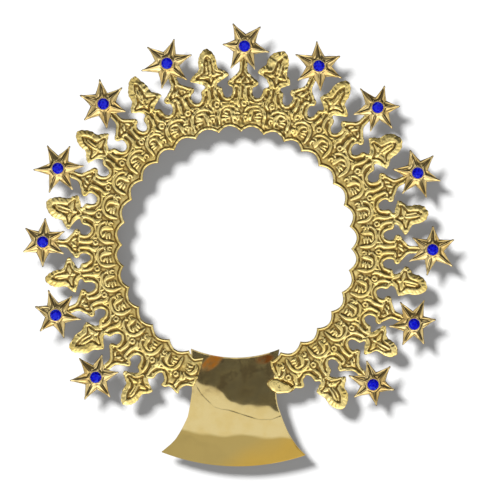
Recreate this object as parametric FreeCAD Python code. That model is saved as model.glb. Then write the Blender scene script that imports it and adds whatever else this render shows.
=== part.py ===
import FreeCAD, Part
import math
import os

# Statue halo (aureole) in embossed sheet brass: an open ring of seven stamped scrollwork strips, thirteen raised
# six-pointed stars each with a round faceted stone, and a flared plain mounting plate that carries the ring's two ends.
# Frame: halo upright, front faces -Y, +X to the viewer's right, +Z up. Origin on the flat back face of the plate.
# Millimetres throughout.

# ---------------------------------------------------------------- driving dimensions
U = 0.53                       # one unit of the stamping pattern, mm
RING_X, RING_Z = 1.3, 87.0     # centre of the ring's opening
PLATE_T = 0.8                  # plate thickness
SHEET_T = 0.6                  # stamped strip thickness
RIDGE_H = 0.85                 # height of the embossed ridges over the strip's ground
RIM_H = 0.7                    # height of the rolled inner rim
TONGUE_T = 0.5                 # thickness of the lap tongue behind the next strip
LAP_LEN = 4.0                  # how far a tongue reaches behind the next strip
SOLDER_LEG = 0.9               # leg of the solder fillets on the plate
HALF_PITCH = 5.58              # half of the nominal angular pitch of the pattern, degrees

STAR_LIP = 0.25                # upright edge of a star
STAR_RISE = 1.6                # hub height over the star's back rim
STAR_HUB = 7.0                 # hub radius, units
STAR_WALL = 0.5                # sheet thickness of a star
COLLAR_R_OUT, COLLAR_R_IN, COLLAR_H = 3.65, 3.1, 0.35
STONE_R = 3.0                  # 6 mm flat-backed round stone
STONE_GIRDLE = 0.45            # height of the straight girdle
STONE_H = 1.75                 # seat to table
BLOB_R = 2.1                   # solder spot inside a star's hub

Y_PLATE_BACK, Y_PLATE = 0.0, -PLATE_T
Y_STRIP_BACK = Y_PLATE
Y_STRIP = Y_STRIP_BACK - SHEET_T
Y_STAR_BACK = Y_STRIP
Y_SEAT = Y_STAR_BACK - STAR_RISE

# ---------------------------------------------------------------- layout of the ring
# Angles of the pattern's axes, counted anticlockwise from +X as seen from the front. Odd places carry leaves, even
# places carry star stems; the first and the last are stubs that were cut off where the ring meets the plate.
AXES = [245.2, 234, 223, 211.75, 200.75, 189.75, 179.25, 168, 156, 145, 133.25, 123, 111, 99, 88, 76.5, 65.75, 55.75,
        44.5, 33, 21, 10, -1.25, -12, -23.5, -34.5, -45.5, -56.25, -67.5, -78.6]
# Star: angle of the centre, radius in units, then per arm (direction, length) and per valley (radius between that arm
# and the next). The stars were cut and set by hand, so each one has its own uneven arms.
STARS = [
    (222.85, 192.1, [(12.4, 23.6), (74.3, 23.6), (131.6, 25.5), (187.7, 26.2), (243.6, 25.2), (305.6, 24.6)], [12.2, 12.6, 12.4, 12.8, 12.4, 11.8]),
    (200.76, 193.3, [(49.9, 25.4), (106.7, 26.3), (158.2, 22.6), (225.8, 23.0), (289.4, 24.7), (350.1, 25.5)], [12.8, 13.0, 11.2, 11.0, 12.4, 12.4]),
    (178.66, 193.8, [(26.3, 24.3), (84.3, 24.1), (141.8, 22.4), (207.3, 22.3), (269.5, 25.3), (330.0, 24.2)], [12.6, 11.6, 11.4, 12.6, 12.8, 12.4]),
    (156.40, 195.0, [(5.4, 26.2), (61.6, 25.5), (115.4, 25.4), (183.4, 24.8), (250.2, 26.2), (304.6, 26.1)], [12.6, 12.8, 9.8, 11.2, 12.6, 12.4]),
    (133.13, 195.0, [(41.2, 25.1), (98.8, 25.3), (159.8, 25.3), (220.3, 25.2), (278.0, 25.0), (341.6, 23.6)], [11.8, 12.8, 13.2, 12.8, 12.4, 12.8]),
    (110.90, 195.7, [(19.1, 26.4), (73.5, 25.7), (140.3, 25.8), (195.9, 26.8), (258.4, 25.9), (320.8, 26.3)], [13.0, 12.0, 12.4, 12.8, 12.4, 12.8]),
    (87.80, 200.2, [(50.6, 25.5), (117.1, 25.7), (175.2, 22.0), (238.3, 26.3), (294.1, 25.7), (346.6, 25.7)], [12.4, 12.0, 12.6, 12.4, 12.8, 11.8]),
    (65.53, 198.1, [(24.8, 23.6), (94.8, 25.0), (154.0, 26.3), (213.9, 26.3), (273.2, 25.3), (332.0, 26.2)], [11.4, 12.8, 12.8, 12.4, 12.8, 12.8]),
    (44.60, 197.6, [(3.4, 22.4), (72.2, 23.2), (132.5, 26.1), (196.1, 25.0), (253.4, 25.2), (305.3, 25.8)], [11.0, 10.4, 12.8, 12.4, 12.6, 12.6]),
    (22.10, 195.0, [(47.8, 23.7), (108.2, 24.4), (171.4, 25.2), (233.4, 25.9), (289.6, 26.5), (341.3, 24.4)], [12.6, 12.6, 12.4, 12.8, 12.8, 10.6]),
    (-0.95, 195.6, [(24.8, 24.0), (88.9, 24.0), (149.3, 23.5), (206.6, 26.1), (257.9, 26.5), (319.9, 26.3)], [12.4, 12.0, 12.4, 12.8, 12.0, 11.6]),
    (-23.66, 193.3, [(11.4, 22.4), (66.8, 26.3), (121.9, 26.1), (185.6, 25.0), (241.6, 24.0), (296.8, 22.6)], [12.6, 13.2, 12.4, 12.8, 11.6, 10.4]),
    (-45.40, 193.8, [(46.4, 25.4), (104.6, 24.9), (159.8, 26.1), (213.6, 22.9), (279.3, 21.7), (345.8, 22.4)], [12.8, 12.4, 12.8, 10.6, 10.4, 13.0]),
]
# Leaf: place -> (tip radius, tip offset, lobe half-width and radius on the + side, the same on the - side, blade
# half-width on the + side, on the - side); radii in units, widths in degrees.
LEAVES = {
    1: (195.3, -0.5, 5.6, 168, 6.5, 169, 2.8, 3.05), 3: (197.4, -0.25, 5.8, 169, 5.2, 169, 3.9, 3.2),
    5: (195.3, 0.0, 6.2, 168, 6.4, 168, 3.2, 2.4), 7: (195.3, -0.9, 6.1, 169, 5.5, 166.5, 3.15, 3.4),
    9: (195.7, -0.5, 5.75, 170, 5.95, 170, 2.6, 3.3), 11: (197.4, -1.5, 5.75, 169.5, 6.0, 168, 3.0, 3.5),
    13: (194.9, 0.0, 6.3, 169, 6.4, 168, 2.75, 2.65), 15: (194.4, -0.25, 6.4, 171, 5.0, 167, 4.0, 2.6),
    17: (195.4, 0.25, 5.6, 168, 6.1, 168, 3.5, 2.65), 19: (194.6, 0.0, 6.1, 169, 5.2, 168, 3.9, 2.85),
    21: (193.7, 0.0, 6.0, 167, 6.0, 168, 3.15, 2.75), 23: (194.8, -0.6, 5.6, 170, 4.9, 169, 3.15, 3.25),
    25: (193.9, 0.5, 6.5, 168, 5.8, 167, 3.15, 2.0), 27: (195.2, -0.5, 6.3, 170, 5.1, 167, 3.55, 3.4),
}
# Radial stretch of the hand-fitted ring, units, against the angle: the top stands a little further out.
STRETCH = [(260, -1.5), (234, -0.5), (222.85, -2.1), (200.8, -0.8), (178.7, -0.3), (156.4, 0.8), (133.1, 0.8), (110.9, 1.5),
           (99, 5.2), (87.8, 6.1), (76.5, 6.5), (65.5, 3.9), (44.6, 3.4), (22.1, 0.8), (-0.95, 1.4), (-12, 0.2),
           (-23.7, -0.8), (-45.4, -0.4), (-56.25, -1.2), (-90, -1.5)]
# First and last place of each of the seven strips. Neighbours meet halfway between two places.
STRIPS = [(0, 4), (5, 8), (9, 12), (13, 16), (17, 20), (21, 24), (25, 28)]

# ---------------------------------------------------------------- pattern
# (offset from the axis in degrees, radius in units)
STEM_EDGE = [(5.58, 146.8), (4.85, 147.3), (4.2, 148.7), (3.75, 150.8), (3.6, 153.2), (3.7, 155.4), (4.05, 156.8), (4.6, 157.3),
             (5.1, 158.4), (5.35, 160.2), (5.2, 162.0), (4.6, 163.6), (3.8, 164.8), (3.2, 166.2), (2.5, 167.8), (1.9, 169.4),
             (1.45, 171.2), (1.25, 173.5), (1.2, 177), (1.2, 182), (1.2, 186.5), (0.8, 188.6), (0.0, 189.2)]
LEAF_FOOT = [(5.58, 146.8), (4.9, 147.4), (4.3, 149.0), (3.95, 151.2), (3.88, 153.5), (3.75, 155.8), (3.3, 157.2), (2.55, 158.2),
             (2.15, 159.4), (2.3, 160.8)]


def along(x, table):
    if x >= table[0][0]:
        return table[0][1]
    for (x0, y0), (x1, y1) in zip(table, table[1:]):
        if x >= x1:
            return y0 + (y1 - y0) * (x0 - x) / (x0 - x1)
    return table[-1][1]


def lean(place):
    """How far the head over a place leans from the axis, in degrees."""
    if place == 1:
        return 0.6
    if place % 2 == 0 and 2 <= place <= 26:
        return STARS[place // 2 - 1][0] - AXES[place]
    return 0.0


def polar(place, d, r):
    """Pattern coordinates to the real angle (degrees) and radius (units)."""
    if d >= 0:
        gap = (AXES[place - 1] - AXES[place]) / 2 if place > 0 else HALF_PITCH
    else:
        gap = (AXES[place] - AXES[place + 1]) / 2
    th = AXES[place] + d / HALF_PITCH * gap
    th += lean(place) * min(1.3, max(0.0, (r - 150) / 45.0))
    return th, r + along(th, STRETCH) * max(0.0, (r - 114) / 81.0)


def xz(th, r):
    t = math.radians(th)
    return (RING_X + U * r * math.cos(t), RING_Z + U * r * math.sin(t))


def at(place, d, r):
    return xz(*polar(place, d, r))


def smooth(points, n=3):
    """Points on the curve through the given ones (Catmull-Rom), n per span."""
    out = []
    for k in range(len(points) - 1):
        p0, p1, p2, p3 = points[max(k - 1, 0)], points[k], points[k + 1], points[min(k + 2, len(points) - 1)]
        for j in range(n):
            t = j / n
            out.append(tuple(0.5 * (2 * b + (c - a) * t + (2 * a - 5 * b + 4 * c - e) * t * t + (3 * b - a - 3 * c + e) * t ** 3)
                             for a, b, c, e in zip(p0, p1, p2, p3)))
    out.append(tuple(points[-1]))
    return out


def leaf_edge(place, side):
    rt, dt, wp, rp, wm, rm, tp, tm = LEAVES[place]
    w, rl, t = (wp, rp, tp) if side > 0 else (wm, rm, tm)
    dt = dt * side
    pts = list(LEAF_FOOT)
    pts += [(0.5 * w + 0.3, rl - 5.4), (0.82 * w, rl - 2.6), (w - 0.12, rl - 0.9), (w, rl + 0.4), (w - 0.3, rl + 2.0),
            (0.55 * w + 0.45 * t + 0.2, rl + 4.4), (t + 0.45, rl + 7.4), (t + 0.12, 179.4), (t + 0.1, 182.2), (t * 0.97, 185.0),
            (t * 0.84 + 0.1 * dt, 188.0), (t * 0.66 + 0.25 * dt, 190.8), (t * 0.40 + 0.6 * dt, rt - 1.8), (t * 0.16 + 0.9 * dt, rt - 0.3),
            (dt, rt)]
    return pts


def head(place, side):
    """Outer edge on one side of a place, from the middle of the notch up to the axis, as pattern points."""
    if place % 2 == 1:
        return leaf_edge(place, side)
    return STEM_EDGE


def rim_r(d):
    return 114.3 + 5.7 * math.sin(math.pi / 2 * min(1.0, abs(d) / HALF_PITCH)) ** 0.92


# ---------------------------------------------------------------- solids
def clean(points):
    """The outline without repeated points, anticlockwise as seen from the front."""
    pts = []
    for p in points:
        if not pts or math.hypot(p[0] - pts[-1][0], p[1] - pts[-1][1]) > 0.02:
            pts.append(p)
    while math.hypot(pts[0][0] - pts[-1][0], pts[0][1] - pts[-1][1]) < 0.02:
        pts.pop()
    area = sum(a[0] * b[1] - b[0] * a[1] for a, b in zip(pts, pts[1:] + pts[:1]))
    return pts if area > 0 else pts[::-1]


def loop(pts, y):
    return Part.makePolygon([FreeCAD.Vector(x, y, z) for x, z in pts + pts[:1]])


def walls(pts, y0, y1):
    made = []
    for (x0, z0), (x1, z1) in zip(pts, pts[1:] + pts[:1]):
        a, b = FreeCAD.Vector(x0, y0, z0), FreeCAD.Vector(x1, y0, z1)
        c, d = FreeCAD.Vector(x1, y1, z1), FreeCAD.Vector(x0, y1, z0)
        made.append(Part.Face(Part.makePolygon([a, b, c, d, a])))
    return made


def embossed(outline, bosses, y_back, y_front):
    """A flat sheet with raised flat-topped ridges: the outline between two depths, and each (outline, height) boss on its front."""
    outline = clean(outline)
    faces = [Part.Face(loop(outline, y_back))] + walls(outline, y_back, y_front)
    ground = [loop(outline, y_front)]
    for pts, height in bosses:
        pts = clean(pts)
        ground.append(loop(pts, y_front))
        faces += walls(pts, y_front, y_front - height)
        faces.append(Part.Face(loop(pts, y_front - height)))
    faces.append(Part.makeFace(ground, "Part::FaceMakerBullseye"))
    shell = Part.makeShell(faces)
    shell.sewShape()
    solid = Part.makeSolid(shell)
    if solid.Volume < 0:
        solid.reverse()
    return solid


def prism(points, y0, y1):
    """Solid between two depths over a closed outline of (x, z) points."""
    return Part.Face(loop(clean(points), y0)).extrude(FreeCAD.Vector(0, y1 - y0, 0))


def ribbon(points, widths):
    """Outline of a raised ridge: a smooth band along (x, z) points, with its full width given at each point, in mm."""
    line = smooth([(x, z, w) for (x, z), w in zip(points, widths)], 3)
    left, right = [], []
    for k, (x, z, w) in enumerate(line):
        a, b = line[max(k - 1, 0)], line[min(k + 1, len(line) - 1)]
        tx, tz = b[0] - a[0], b[1] - a[1]
        n = math.hypot(tx, tz) or 1.0
        left.append((x - tz / n * w / 2, z + tx / n * w / 2))
        right.append((x + tz / n * w / 2, z - tx / n * w / 2))
    return left + right[::-1]


def polyhedron(vertices, faces):
    """Closed solid from vertices and planar faces."""
    made = []
    for f in faces:
        pts = [FreeCAD.Vector(*vertices[k]) for k in f]
        made.append(Part.Face(Part.makePolygon(pts + pts[:1])))
    shell = Part.makeShell(made)
    solid = Part.makeSolid(shell)
    if solid.Volume < 0:
        solid.reverse()
    return solid


# ridges of one place: (pattern points, widths in units, height). Drawn for the left half of the ring; the scroll in the
# scallop is mirrored on the right half.
def ridges(place):
    out = []
    whole = place not in (0, 28)
    # bead on the axis and the flame under the head
    out.append(([(0, 142.9), (0, 141.0), (0, 138.9)], [2.2, 4.4, 2.2], 0.8))
    if whole:
        out.append(([(0, 158.0), (0, 152.5), (0, 146.8)], [1.2, 4.6, 2.0], 0.9))
    for side in (1, -1):
        # the outer edge of the trunk, curling under the head
        if whole:
            out.append(([(side * 3.0, 157.0), (side * 2.75, 153.4), (side * 3.05, 149.9)], [1.6, 2.4, 1.4], 0.8))
    if place % 2 == 1 and place in LEAVES:
        rt, dt, wp, rp, wm, rm, tp, tm = LEAVES[place]
        out.append(([(0, 165.5), (dt * 0.3, 174), (dt * 0.7, 182), (dt * 0.9, 188.5)], [2.0, 3.0, 2.6, 1.4], 0.9))
        out.append(([(wp - 1.6, rp + 0.6), (tp - 0.75, rp + 8.0), (tp - 1.0, 184.5), (dt + 0.35, rt - 4.0)], [1.6, 2.6, 2.6, 1.6], 1.0))
        out.append(([(-wm + 1.6, rm + 0.6), (-tm + 0.75, rm + 8.0), (-tm + 1.0, 184.5), (dt - 0.35, rt - 4.0)], [1.6, 2.6, 2.6, 1.6], 1.0))
    elif whole:
        rs = STARS[place // 2 - 1][1] - along(AXES[place], STRETCH) * 1.0
        top = min(176.0, rs - 17.0)
        out.append(([(0.55, 169.5), (0.6, 172.5), (0.6, top)], [1.2, 1.8, 1.2], 0.7))
        out.append(([(-0.55, 169.5), (-0.6, 172.5), (-0.6, top)], [1.2, 1.8, 1.2], 0.7))
        for side in (1, -1):
            out.append(([(side * 4.5, 158.9), (side * 4.35, 161.2), (side * 3.2, 163.3), (side * 1.5, 165.2)], [1.2, 1.9, 2.1, 1.2], 0.9))
    return out


def arch(place, lo, hi):
    """Scroll arch and comma in the scallop between this place and the next one, in real angles."""
    a, b = AXES[place], AXES[place + 1]
    m, g = (a + b) / 2, (a - b) / 2 / HALF_PITCH
    flip = 1 if m > 90 else -1
    rows = [
        ([(4.35, 127.8), (4.3, 132.0), (3.3, 136.4), (1.4, 138.6), (-1.4, 138.6), (-3.3, 136.4), (-4.3, 132.0), (-4.35, 127.8)],
         [1.2, 2.2, 2.6, 2.8, 2.8, 2.6, 2.2, 1.2], 1.0),
        ([(-0.2, 134.4), (-1.7, 132.6), (-2.1, 129.4), (-0.8, 126.6)], [1.6, 3.4, 3.6, 1.4], 0.95),
        ([(1.2, 133.2), (1.9, 131.6), (2.3, 130.0)], [1.2, 2.0, 1.2], 0.6),
        ([(1.1, 129.2), (1.9, 128.0), (2.6, 127.0)], [1.2, 1.8, 1.0], 0.6),
    ]
    out = []
    for pts, widths, h in rows:
        real = []
        for d, r in pts:
            th = m + flip * d * g
            real.append((th, r + along(th, STRETCH) * max(0.0, (r - 114) / 81.0)))
        if all(lo + 0.4 < th < hi - 0.4 for th, r in real):
            out.append(([xz(th, r) for th, r in real], widths, h))
    return out


def notch_ridge(place, lo, hi):
    """The rolled edge below the open notch between this place and the next one."""
    a, b = AXES[place], AXES[place + 1]
    m, g = (a + b) / 2, (a - b) / 2 / HALF_PITCH
    pts = [(1.95, 147.2), (0.9, 145.4), (-0.9, 145.4), (-1.95, 147.2)]
    real = [(m + d * g, r + along(m, STRETCH) * (r - 114) / 81.0) for d, r in pts]
    if all(lo + 0.3 < th < hi - 0.3 for th, r in real):
        return [([xz(th, r) for th, r in real], [1.4, 1.8, 1.8, 1.4], 0.8)]
    return []


def strip_outline(first, last):
    """Closed outline of a strip: the inner scallops one way, the outer heads back."""
    inner, outer = [], []
    for place in range(first, last + 1):
        if place == 0:
            # cut end on the plate's left edge: the end edge, the half notch and the cut stub
            inner += [xz(253.3, 115.4)] + [xz(249.5 - 4.3 * k / 4, 119.2 - 0.0 * k) for k in range(1)]
            inner += [at(0, d, rim_r(d)) for d in (3.2, 2.4, 1.6, 0.8, 0.0, -0.93, -1.86, -2.79, -3.72, -4.65)]
            outer += [xz(253.3, 115.4), xz(253.4, 138), xz(252.9, 146.0)]
            outer += [xz(t, r) for t, r in smooth([(252.0, 147.4), (251.0, 147.3), (249.9, 148.3), (249.0, 150.3), (248.4, 153.0), (248.2, 155.5),
                                                   (248.5, 157.8), (247.9, 158.6), (247.0, 158.0), (246.2, 156.8), (245.4, 156.1), (244.6, 155.4),
                                                   (243.9, 155.8), (243.1, 157.4), (242.2, 158.2), (241.3, 157.8), (241.3, 156.2), (241.5, 154.0),
                                                   (241.3, 151.0), (240.7, 149.2), (239.9, 147.6)], 2)]
            continue
        if place == 28:
            # cut end on the plate's right edge: the cut stub and the flat petal-shaped lug
            inner += [at(28, d, rim_r(d)) for d in (4.65, 3.72, 2.79, 1.86, 0.93, 0.0, -1.2, -2.4, -3.6, -4.8)] + [xz(-73.6, 118.6)]
            outer += [xz(t, r) for t, r in smooth([(-62.3, 147.2), (-63.2, 148.4), (-63.8, 150.3), (-63.9, 152.4), (-64.1, 154.6), (-64.9, 155.9),
                                                   (-66.0, 155.4), (-66.9, 153.9), (-67.6, 153.3), (-68.5, 154.6), (-70.0, 155.3), (-72.0, 154.0),
                                                   (-74.4, 152.7), (-76.1, 149.0), (-77.3, 144.6), (-77.7, 140.6), (-77.0, 138.2), (-75.2, 136.9)], 2)]
            outer += [xz(-73.4, 136.0), xz(-74.0, 130.0), xz(-74.2, 124.2), xz(-73.6, 118.6)]
            continue
        n = 6
        inner += [at(place, HALF_PITCH * (1 - k / n), rim_r(HALF_PITCH * (1 - k / n))) for k in range(1 if place > first else 0, 2 * n + 1)]
        a = smooth(head(place, 1), 3)
        b = [(-d, r) for d, r in smooth(head(place, -1), 3)][::-1]
        outer += [at(place, d, r) for d, r in a] + [at(place, d, r) for d, r in b[1:]]
    return inner + outer[::-1]


def strip_parts(number):
    """Outline and bosses of a strip, and the angle where it ends."""
    first, last = STRIPS[number]
    hi = 253.3 if first == 0 else (AXES[first - 1] + AXES[first]) / 2
    lo = -74.2 if last == 28 else (AXES[last] + AXES[last + 1]) / 2
    bosses = []
    for place in range(first, last + 1):
        for pts, widths, h in ridges(place):
            bosses.append((ribbon([at(place, d, r) for d, r in pts], [w * U for w in widths]), h * RIDGE_H))
        if place < last:
            for pts, widths, h in arch(place, lo, hi) + notch_ridge(place, lo, hi):
                bosses.append((ribbon(pts, [w * U for w in widths]), h * RIDGE_H))
    # rolled inner rim just inside the scalloped edge
    rim = []
    for place in range(first, last + 1):
        n = 6
        top = 3.0 if place == 0 else HALF_PITCH - (0.3 if place == first else 0.0)
        end = -4.6 if place == 28 else -HALF_PITCH + (0.3 if place == last else 0.0)
        rim += [(place, top + (end - top) * k / (2 * n)) for k in range(0 if place == first else 1, 2 * n + 1)]
    edge = [at(p, d, rim_r(d) + 0.35) for p, d in rim]
    back = [at(p, d, rim_r(d) + 3.0) for p, d in rim]
    bosses.append((edge + back[::-1], RIM_H))
    if last == 28:
        # raised flat of the lug
        bosses.append(([xz(t, r) for t, r in smooth([(-69.3, 152.6), (-70.4, 153.9), (-72.4, 152.6), (-74.4, 151.0), (-75.7, 147.6), (-76.6, 143.4),
                                                     (-76.4, 140.2), (-74.9, 138.6), (-73.2, 139.8), (-71.4, 144.2), (-69.9, 148.2), (-69.3, 152.6)], 2)], 0.45))
    return strip_outline(first, last), bosses, lo


def make_strip(number):
    outline, bosses, lo = strip_parts(number)
    shape = embossed(outline, bosses, Y_STRIP_BACK, Y_STRIP)
    if number < 6:
        # lap tongue behind the next strip
        w = LAP_LEN / (U * 130) * 57.3
        pts = [(lo + 2.2, 124.5), (lo - w, 124.5), (lo - w, 138.5), (lo + 2.2, 138.5)]
        tongue = prism([xz(t, r + along(lo, STRETCH) * (r - 114) / 81.0) for t, r in pts], Y_STRIP_BACK, Y_STRIP_BACK + TONGUE_T)
        shape = shape.fuse(tongue)
    return shape.Solids[0]


def make_star(index):
    th, r, arms, valleys = STARS[index]
    cx, cz = xz(th, r)

    def pt(a, rr, y):
        t = math.radians(a)
        return (cx + U * rr * math.cos(t), y, cz + U * rr * math.sin(t))

    def build(scale_tip, scale_valley, hub, y_rim, y_lip, y_hub):
        v, f = [], []
        dirs = []
        for k in range(6):
            a0, l0 = arms[k]
            a1 = arms[(k + 1) % 6][0]
            if a1 < a0:
                a1 += 360
            dirs.append((a0, l0 * scale_tip))
            dirs.append(((a0 + a1) / 2, valleys[k] * scale_valley))
        for a, l in dirs:
            v.append(pt(a, l, y_rim))
        for a, l in dirs:
            v.append(pt(a, l, y_lip))
        for k in range(6):
            v.append(pt(dirs[2 * k][0], hub, y_hub))
        f.append(tuple(range(12)))
        for k in range(12):
            n = (k + 1) % 12
            f.append((k, n, 12 + n, 12 + k))
        for k in range(6):
            t, va, vb, h, hn = 12 + 2 * k, 12 + 2 * k + 1, 12 + (2 * k - 1) % 12, 24 + k, 24 + (k + 1) % 6
            f.append((t, va, h))
            f.append((t, h, vb))
            f.append((va, hn, h))
        f.append(tuple(range(24, 30)))
        return polyhedron(v, f)

    outer = build(1.0, 1.0, STAR_HUB, Y_STAR_BACK, Y_STAR_BACK - STAR_LIP, Y_SEAT)
    inner = build(0.80, 0.80, STAR_HUB - 0.9, Y_STAR_BACK + 0.3, Y_STAR_BACK - 0.02, Y_SEAT + STAR_WALL)
    shape = outer.cut(inner)
    y_axis = FreeCAD.Vector(0, -1, 0)
    at_seat = FreeCAD.Vector(cx, Y_SEAT + 0.3, cz)
    collar = Part.makeCylinder(COLLAR_R_OUT, COLLAR_H + 0.3, at_seat, y_axis).cut(
        Part.makeCylinder(COLLAR_R_IN, COLLAR_H + 0.3, at_seat, y_axis))
    # the collar stands on the hub; what would pass through the hollow back is trimmed away
    shape = shape.fuse(collar.cut(inner)).removeSplitter()
    return shape, (cx, cz)


def make_stone(cx, cz, turn):
    y0, y1, y2, y3 = Y_SEAT, Y_SEAT - STONE_GIRDLE, Y_SEAT - 0.78 * STONE_H, Y_SEAT - STONE_H
    v = []

    def ring(n, r, y, start):
        base = len(v)
        for k in range(n):
            t = math.radians(turn + start + 360.0 * k / n)
            v.append((cx + r * math.cos(t), y, cz + r * math.sin(t)))
        return base
    a, b = ring(16, STONE_R, y0, 0), ring(16, STONE_R, y1, 0)
    c, d = ring(8, 2.42, y2, 22.5), ring(8, 1.7, y3, 0)
    f = [tuple(range(a, a + 16)), tuple(range(d, d + 8))]
    for k in range(16):
        n = (k + 1) % 16
        f.append((a + k, a + n, b + n, b + k))
    for k in range(8):
        n, q = (k + 1) % 8, (k - 1) % 8
        f.append((b + 2 * k, b + 2 * k + 1, c + k))
        f.append((b + 2 * k + 1, b + (2 * k + 2) % 16, c + k))
        f.append((b + 2 * k, c + k, d + k))
        f.append((b + 2 * k, d + k, c + q))
        f.append((d + k, c + k, d + n))
    return polyhedron(v, f)


def make_plate():
    """Plate outline: concave top concentric with the ring, hollow flanks, convex foot."""
    def v(x, z):
        return FreeCAD.Vector(x, Y_PLATE_BACK, z)

    def spline(points):
        s = Part.BSplineCurve()
        s.interpolate([v(x, z) for x, z in points])
        return s.toShape()
    top = Part.Arc(v(-23.0, 32.9), v(1.6, 28.1), v(23.9, 32.6)).toShape()
    right = spline([(23.9, 32.6), (21.5, 16.4), (22.2, 8.9), (22.9, 3.4), (24.3, -0.9), (26.3, -6.4), (29.3, -12.9), (33.8, -19.5), (37.9, -23.6)])
    foot = Part.Arc(v(37.9, -23.6), v(3.5, -29.6), v(-38.8, -22.0)).toShape()
    left = spline([(-38.8, -22.0), (-31.2, -15.1), (-25.5, -5.0), (-24.2, -0.7), (-22.8, 7.7), (-22.5, 12.7), (-23.0, 32.9)])
    face = Part.Face(Part.Wire([top, right, foot, left]))
    return face.extrude(FreeCAD.Vector(0, Y_PLATE - Y_PLATE_BACK, 0))


def fillet_bead(p, q, out, y_at, leg_y, leg_out):
    """Triangular solder bead from p to q (x, z), against a wall, on the face at y_at; out is its sideways direction."""
    ends = []
    for x, z in (p, q):
        ends.append(Part.makePolygon([FreeCAD.Vector(x, y_at, z), FreeCAD.Vector(x + out[0] * leg_out, y_at, z + out[1] * leg_out),
                                      FreeCAD.Vector(x, y_at + leg_y, z), FreeCAD.Vector(x, y_at, z)]))
    return Part.makeLoft(ends, True, True)


# ---------------------------------------------------------------- nodes
def main():
    nodes = {"base_plate": make_plate()}
    for k in range(7):
        nodes["ring_segment_%d" % (k + 1)] = make_strip(k)
    blobs = []
    for k in range(13):
        star, (cx, cz) = make_star(k)
        nodes["star_%02d" % (k + 1)] = star
        nodes["stone_%02d" % (k + 1)] = make_stone(cx, cz, STARS[k][0])
        blobs.append(Part.makeCylinder(BLOB_R, STAR_RISE - STAR_WALL, FreeCAD.Vector(cx, Y_STAR_BACK, cz), FreeCAD.Vector(0, -1, 0)))
    nodes["star_joint_solder"] = Part.makeCompound(blobs)
    laps = []
    for first, last in STRIPS[:-1]:
        lo = (AXES[last] + AXES[last + 1]) / 2
        w = LAP_LEN / (U * 130) * 57.3
        add = along(lo, STRETCH) * (131 - 114) / 81.0
        p, q = xz(lo - w, 126 + add), xz(lo - w, 137 + add)
        t = math.radians(lo - w)
        laps.append(fillet_bead(p, q, (math.sin(t), -math.cos(t)), Y_STRIP_BACK, TONGUE_T * 0.9, 0.9))
    nodes["ring_lap_solder"] = Part.makeCompound(laps)
    left = fillet_bead((-23.0, 29.5), (-22.72, 18.5), (-1, 0), Y_STRIP_BACK, PLATE_T * 0.85, SOLDER_LEG)
    right = fillet_bead((23.45, 29.2), (22.05, 20.2), (1, 0), Y_STRIP_BACK, PLATE_T * 0.85, SOLDER_LEG)
    nodes["plate_joint_solder"] = Part.makeCompound([left, right])
    return nodes


os.makedirs("parts", exist_ok=True)
for name, shape in main().items():
    box = shape.BoundBox
    print("%-20s valid %s solids %d vol %.2f  x %.1f %.1f y %.2f %.2f z %.1f %.1f" % (
        name, shape.isValid(), len(shape.Solids), shape.Volume, box.XMin, box.XMax, box.YMin, box.YMax, box.ZMin, box.ZMax))
    shape.exportStep(os.path.join("parts", name + ".step"))
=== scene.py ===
import math

import bpy
import numpy as np
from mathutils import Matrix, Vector


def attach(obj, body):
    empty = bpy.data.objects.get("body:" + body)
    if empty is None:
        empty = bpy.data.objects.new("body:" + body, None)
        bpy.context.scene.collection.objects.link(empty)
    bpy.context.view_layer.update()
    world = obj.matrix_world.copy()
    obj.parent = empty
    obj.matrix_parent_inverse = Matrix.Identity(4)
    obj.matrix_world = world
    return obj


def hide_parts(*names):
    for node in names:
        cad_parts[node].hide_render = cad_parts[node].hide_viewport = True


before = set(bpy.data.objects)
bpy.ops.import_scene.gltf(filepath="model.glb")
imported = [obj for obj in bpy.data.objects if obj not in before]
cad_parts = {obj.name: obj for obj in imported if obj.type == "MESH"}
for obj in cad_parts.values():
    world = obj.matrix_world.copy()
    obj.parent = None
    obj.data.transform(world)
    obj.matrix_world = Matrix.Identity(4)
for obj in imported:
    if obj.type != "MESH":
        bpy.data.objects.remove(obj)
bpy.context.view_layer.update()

# Statue halo in embossed sheet brass. Everything below is worked out in millimetres in the frame's axes (front faces
# -Y, +Z up, origin on the plate's back face) and turned into metres when a mesh is made.
MM = 0.001

# ---------------------------------------------------------------- sizes and layout of the frame's parts
U = 0.53                       # one unit of the stamping pattern, mm
RING_X, RING_Z = 1.3, 87.0     # centre of the ring's opening
PLATE_T = 0.8                  # plate thickness
SHEET_T = 0.6                  # stamped strip thickness
RIDGE_H = 1.0                  # height of the embossed ridges over the strip's ground
RIM_H = 0.7                    # height of the rolled inner rim
TONGUE_T = 0.5                 # thickness of the lap tongue behind the next strip
LAP_LEN = 4.0                  # how far a tongue reaches behind the next strip
SOLDER_LEG = 0.9               # leg of the solder fillets on the plate
HALF_PITCH = 5.58              # half of the nominal angular pitch of the pattern, degrees

STAR_LIP = 0.25                # upright edge of a star
STAR_RISE = 1.6                # hub height over the star's back rim
STAR_HUB = 7.0                 # hub radius, units
STAR_WALL = 0.5                # sheet thickness of a star
COLLAR_R_OUT, COLLAR_R_IN, COLLAR_H = 3.65, 3.1, 0.35
STONE_R = 3.0                  # 6 mm flat-backed round stone
STONE_GIRDLE = 0.45            # height of the straight girdle
STONE_H = 1.75                 # seat to table
BLOB_R = 2.1                   # solder spot inside a star's hub

Y_PLATE_BACK, Y_PLATE = 0.0, -PLATE_T
Y_STRIP_BACK = Y_PLATE
Y_STRIP = Y_STRIP_BACK - SHEET_T
Y_STAR_BACK = Y_STRIP
Y_SEAT = Y_STAR_BACK - STAR_RISE

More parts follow.
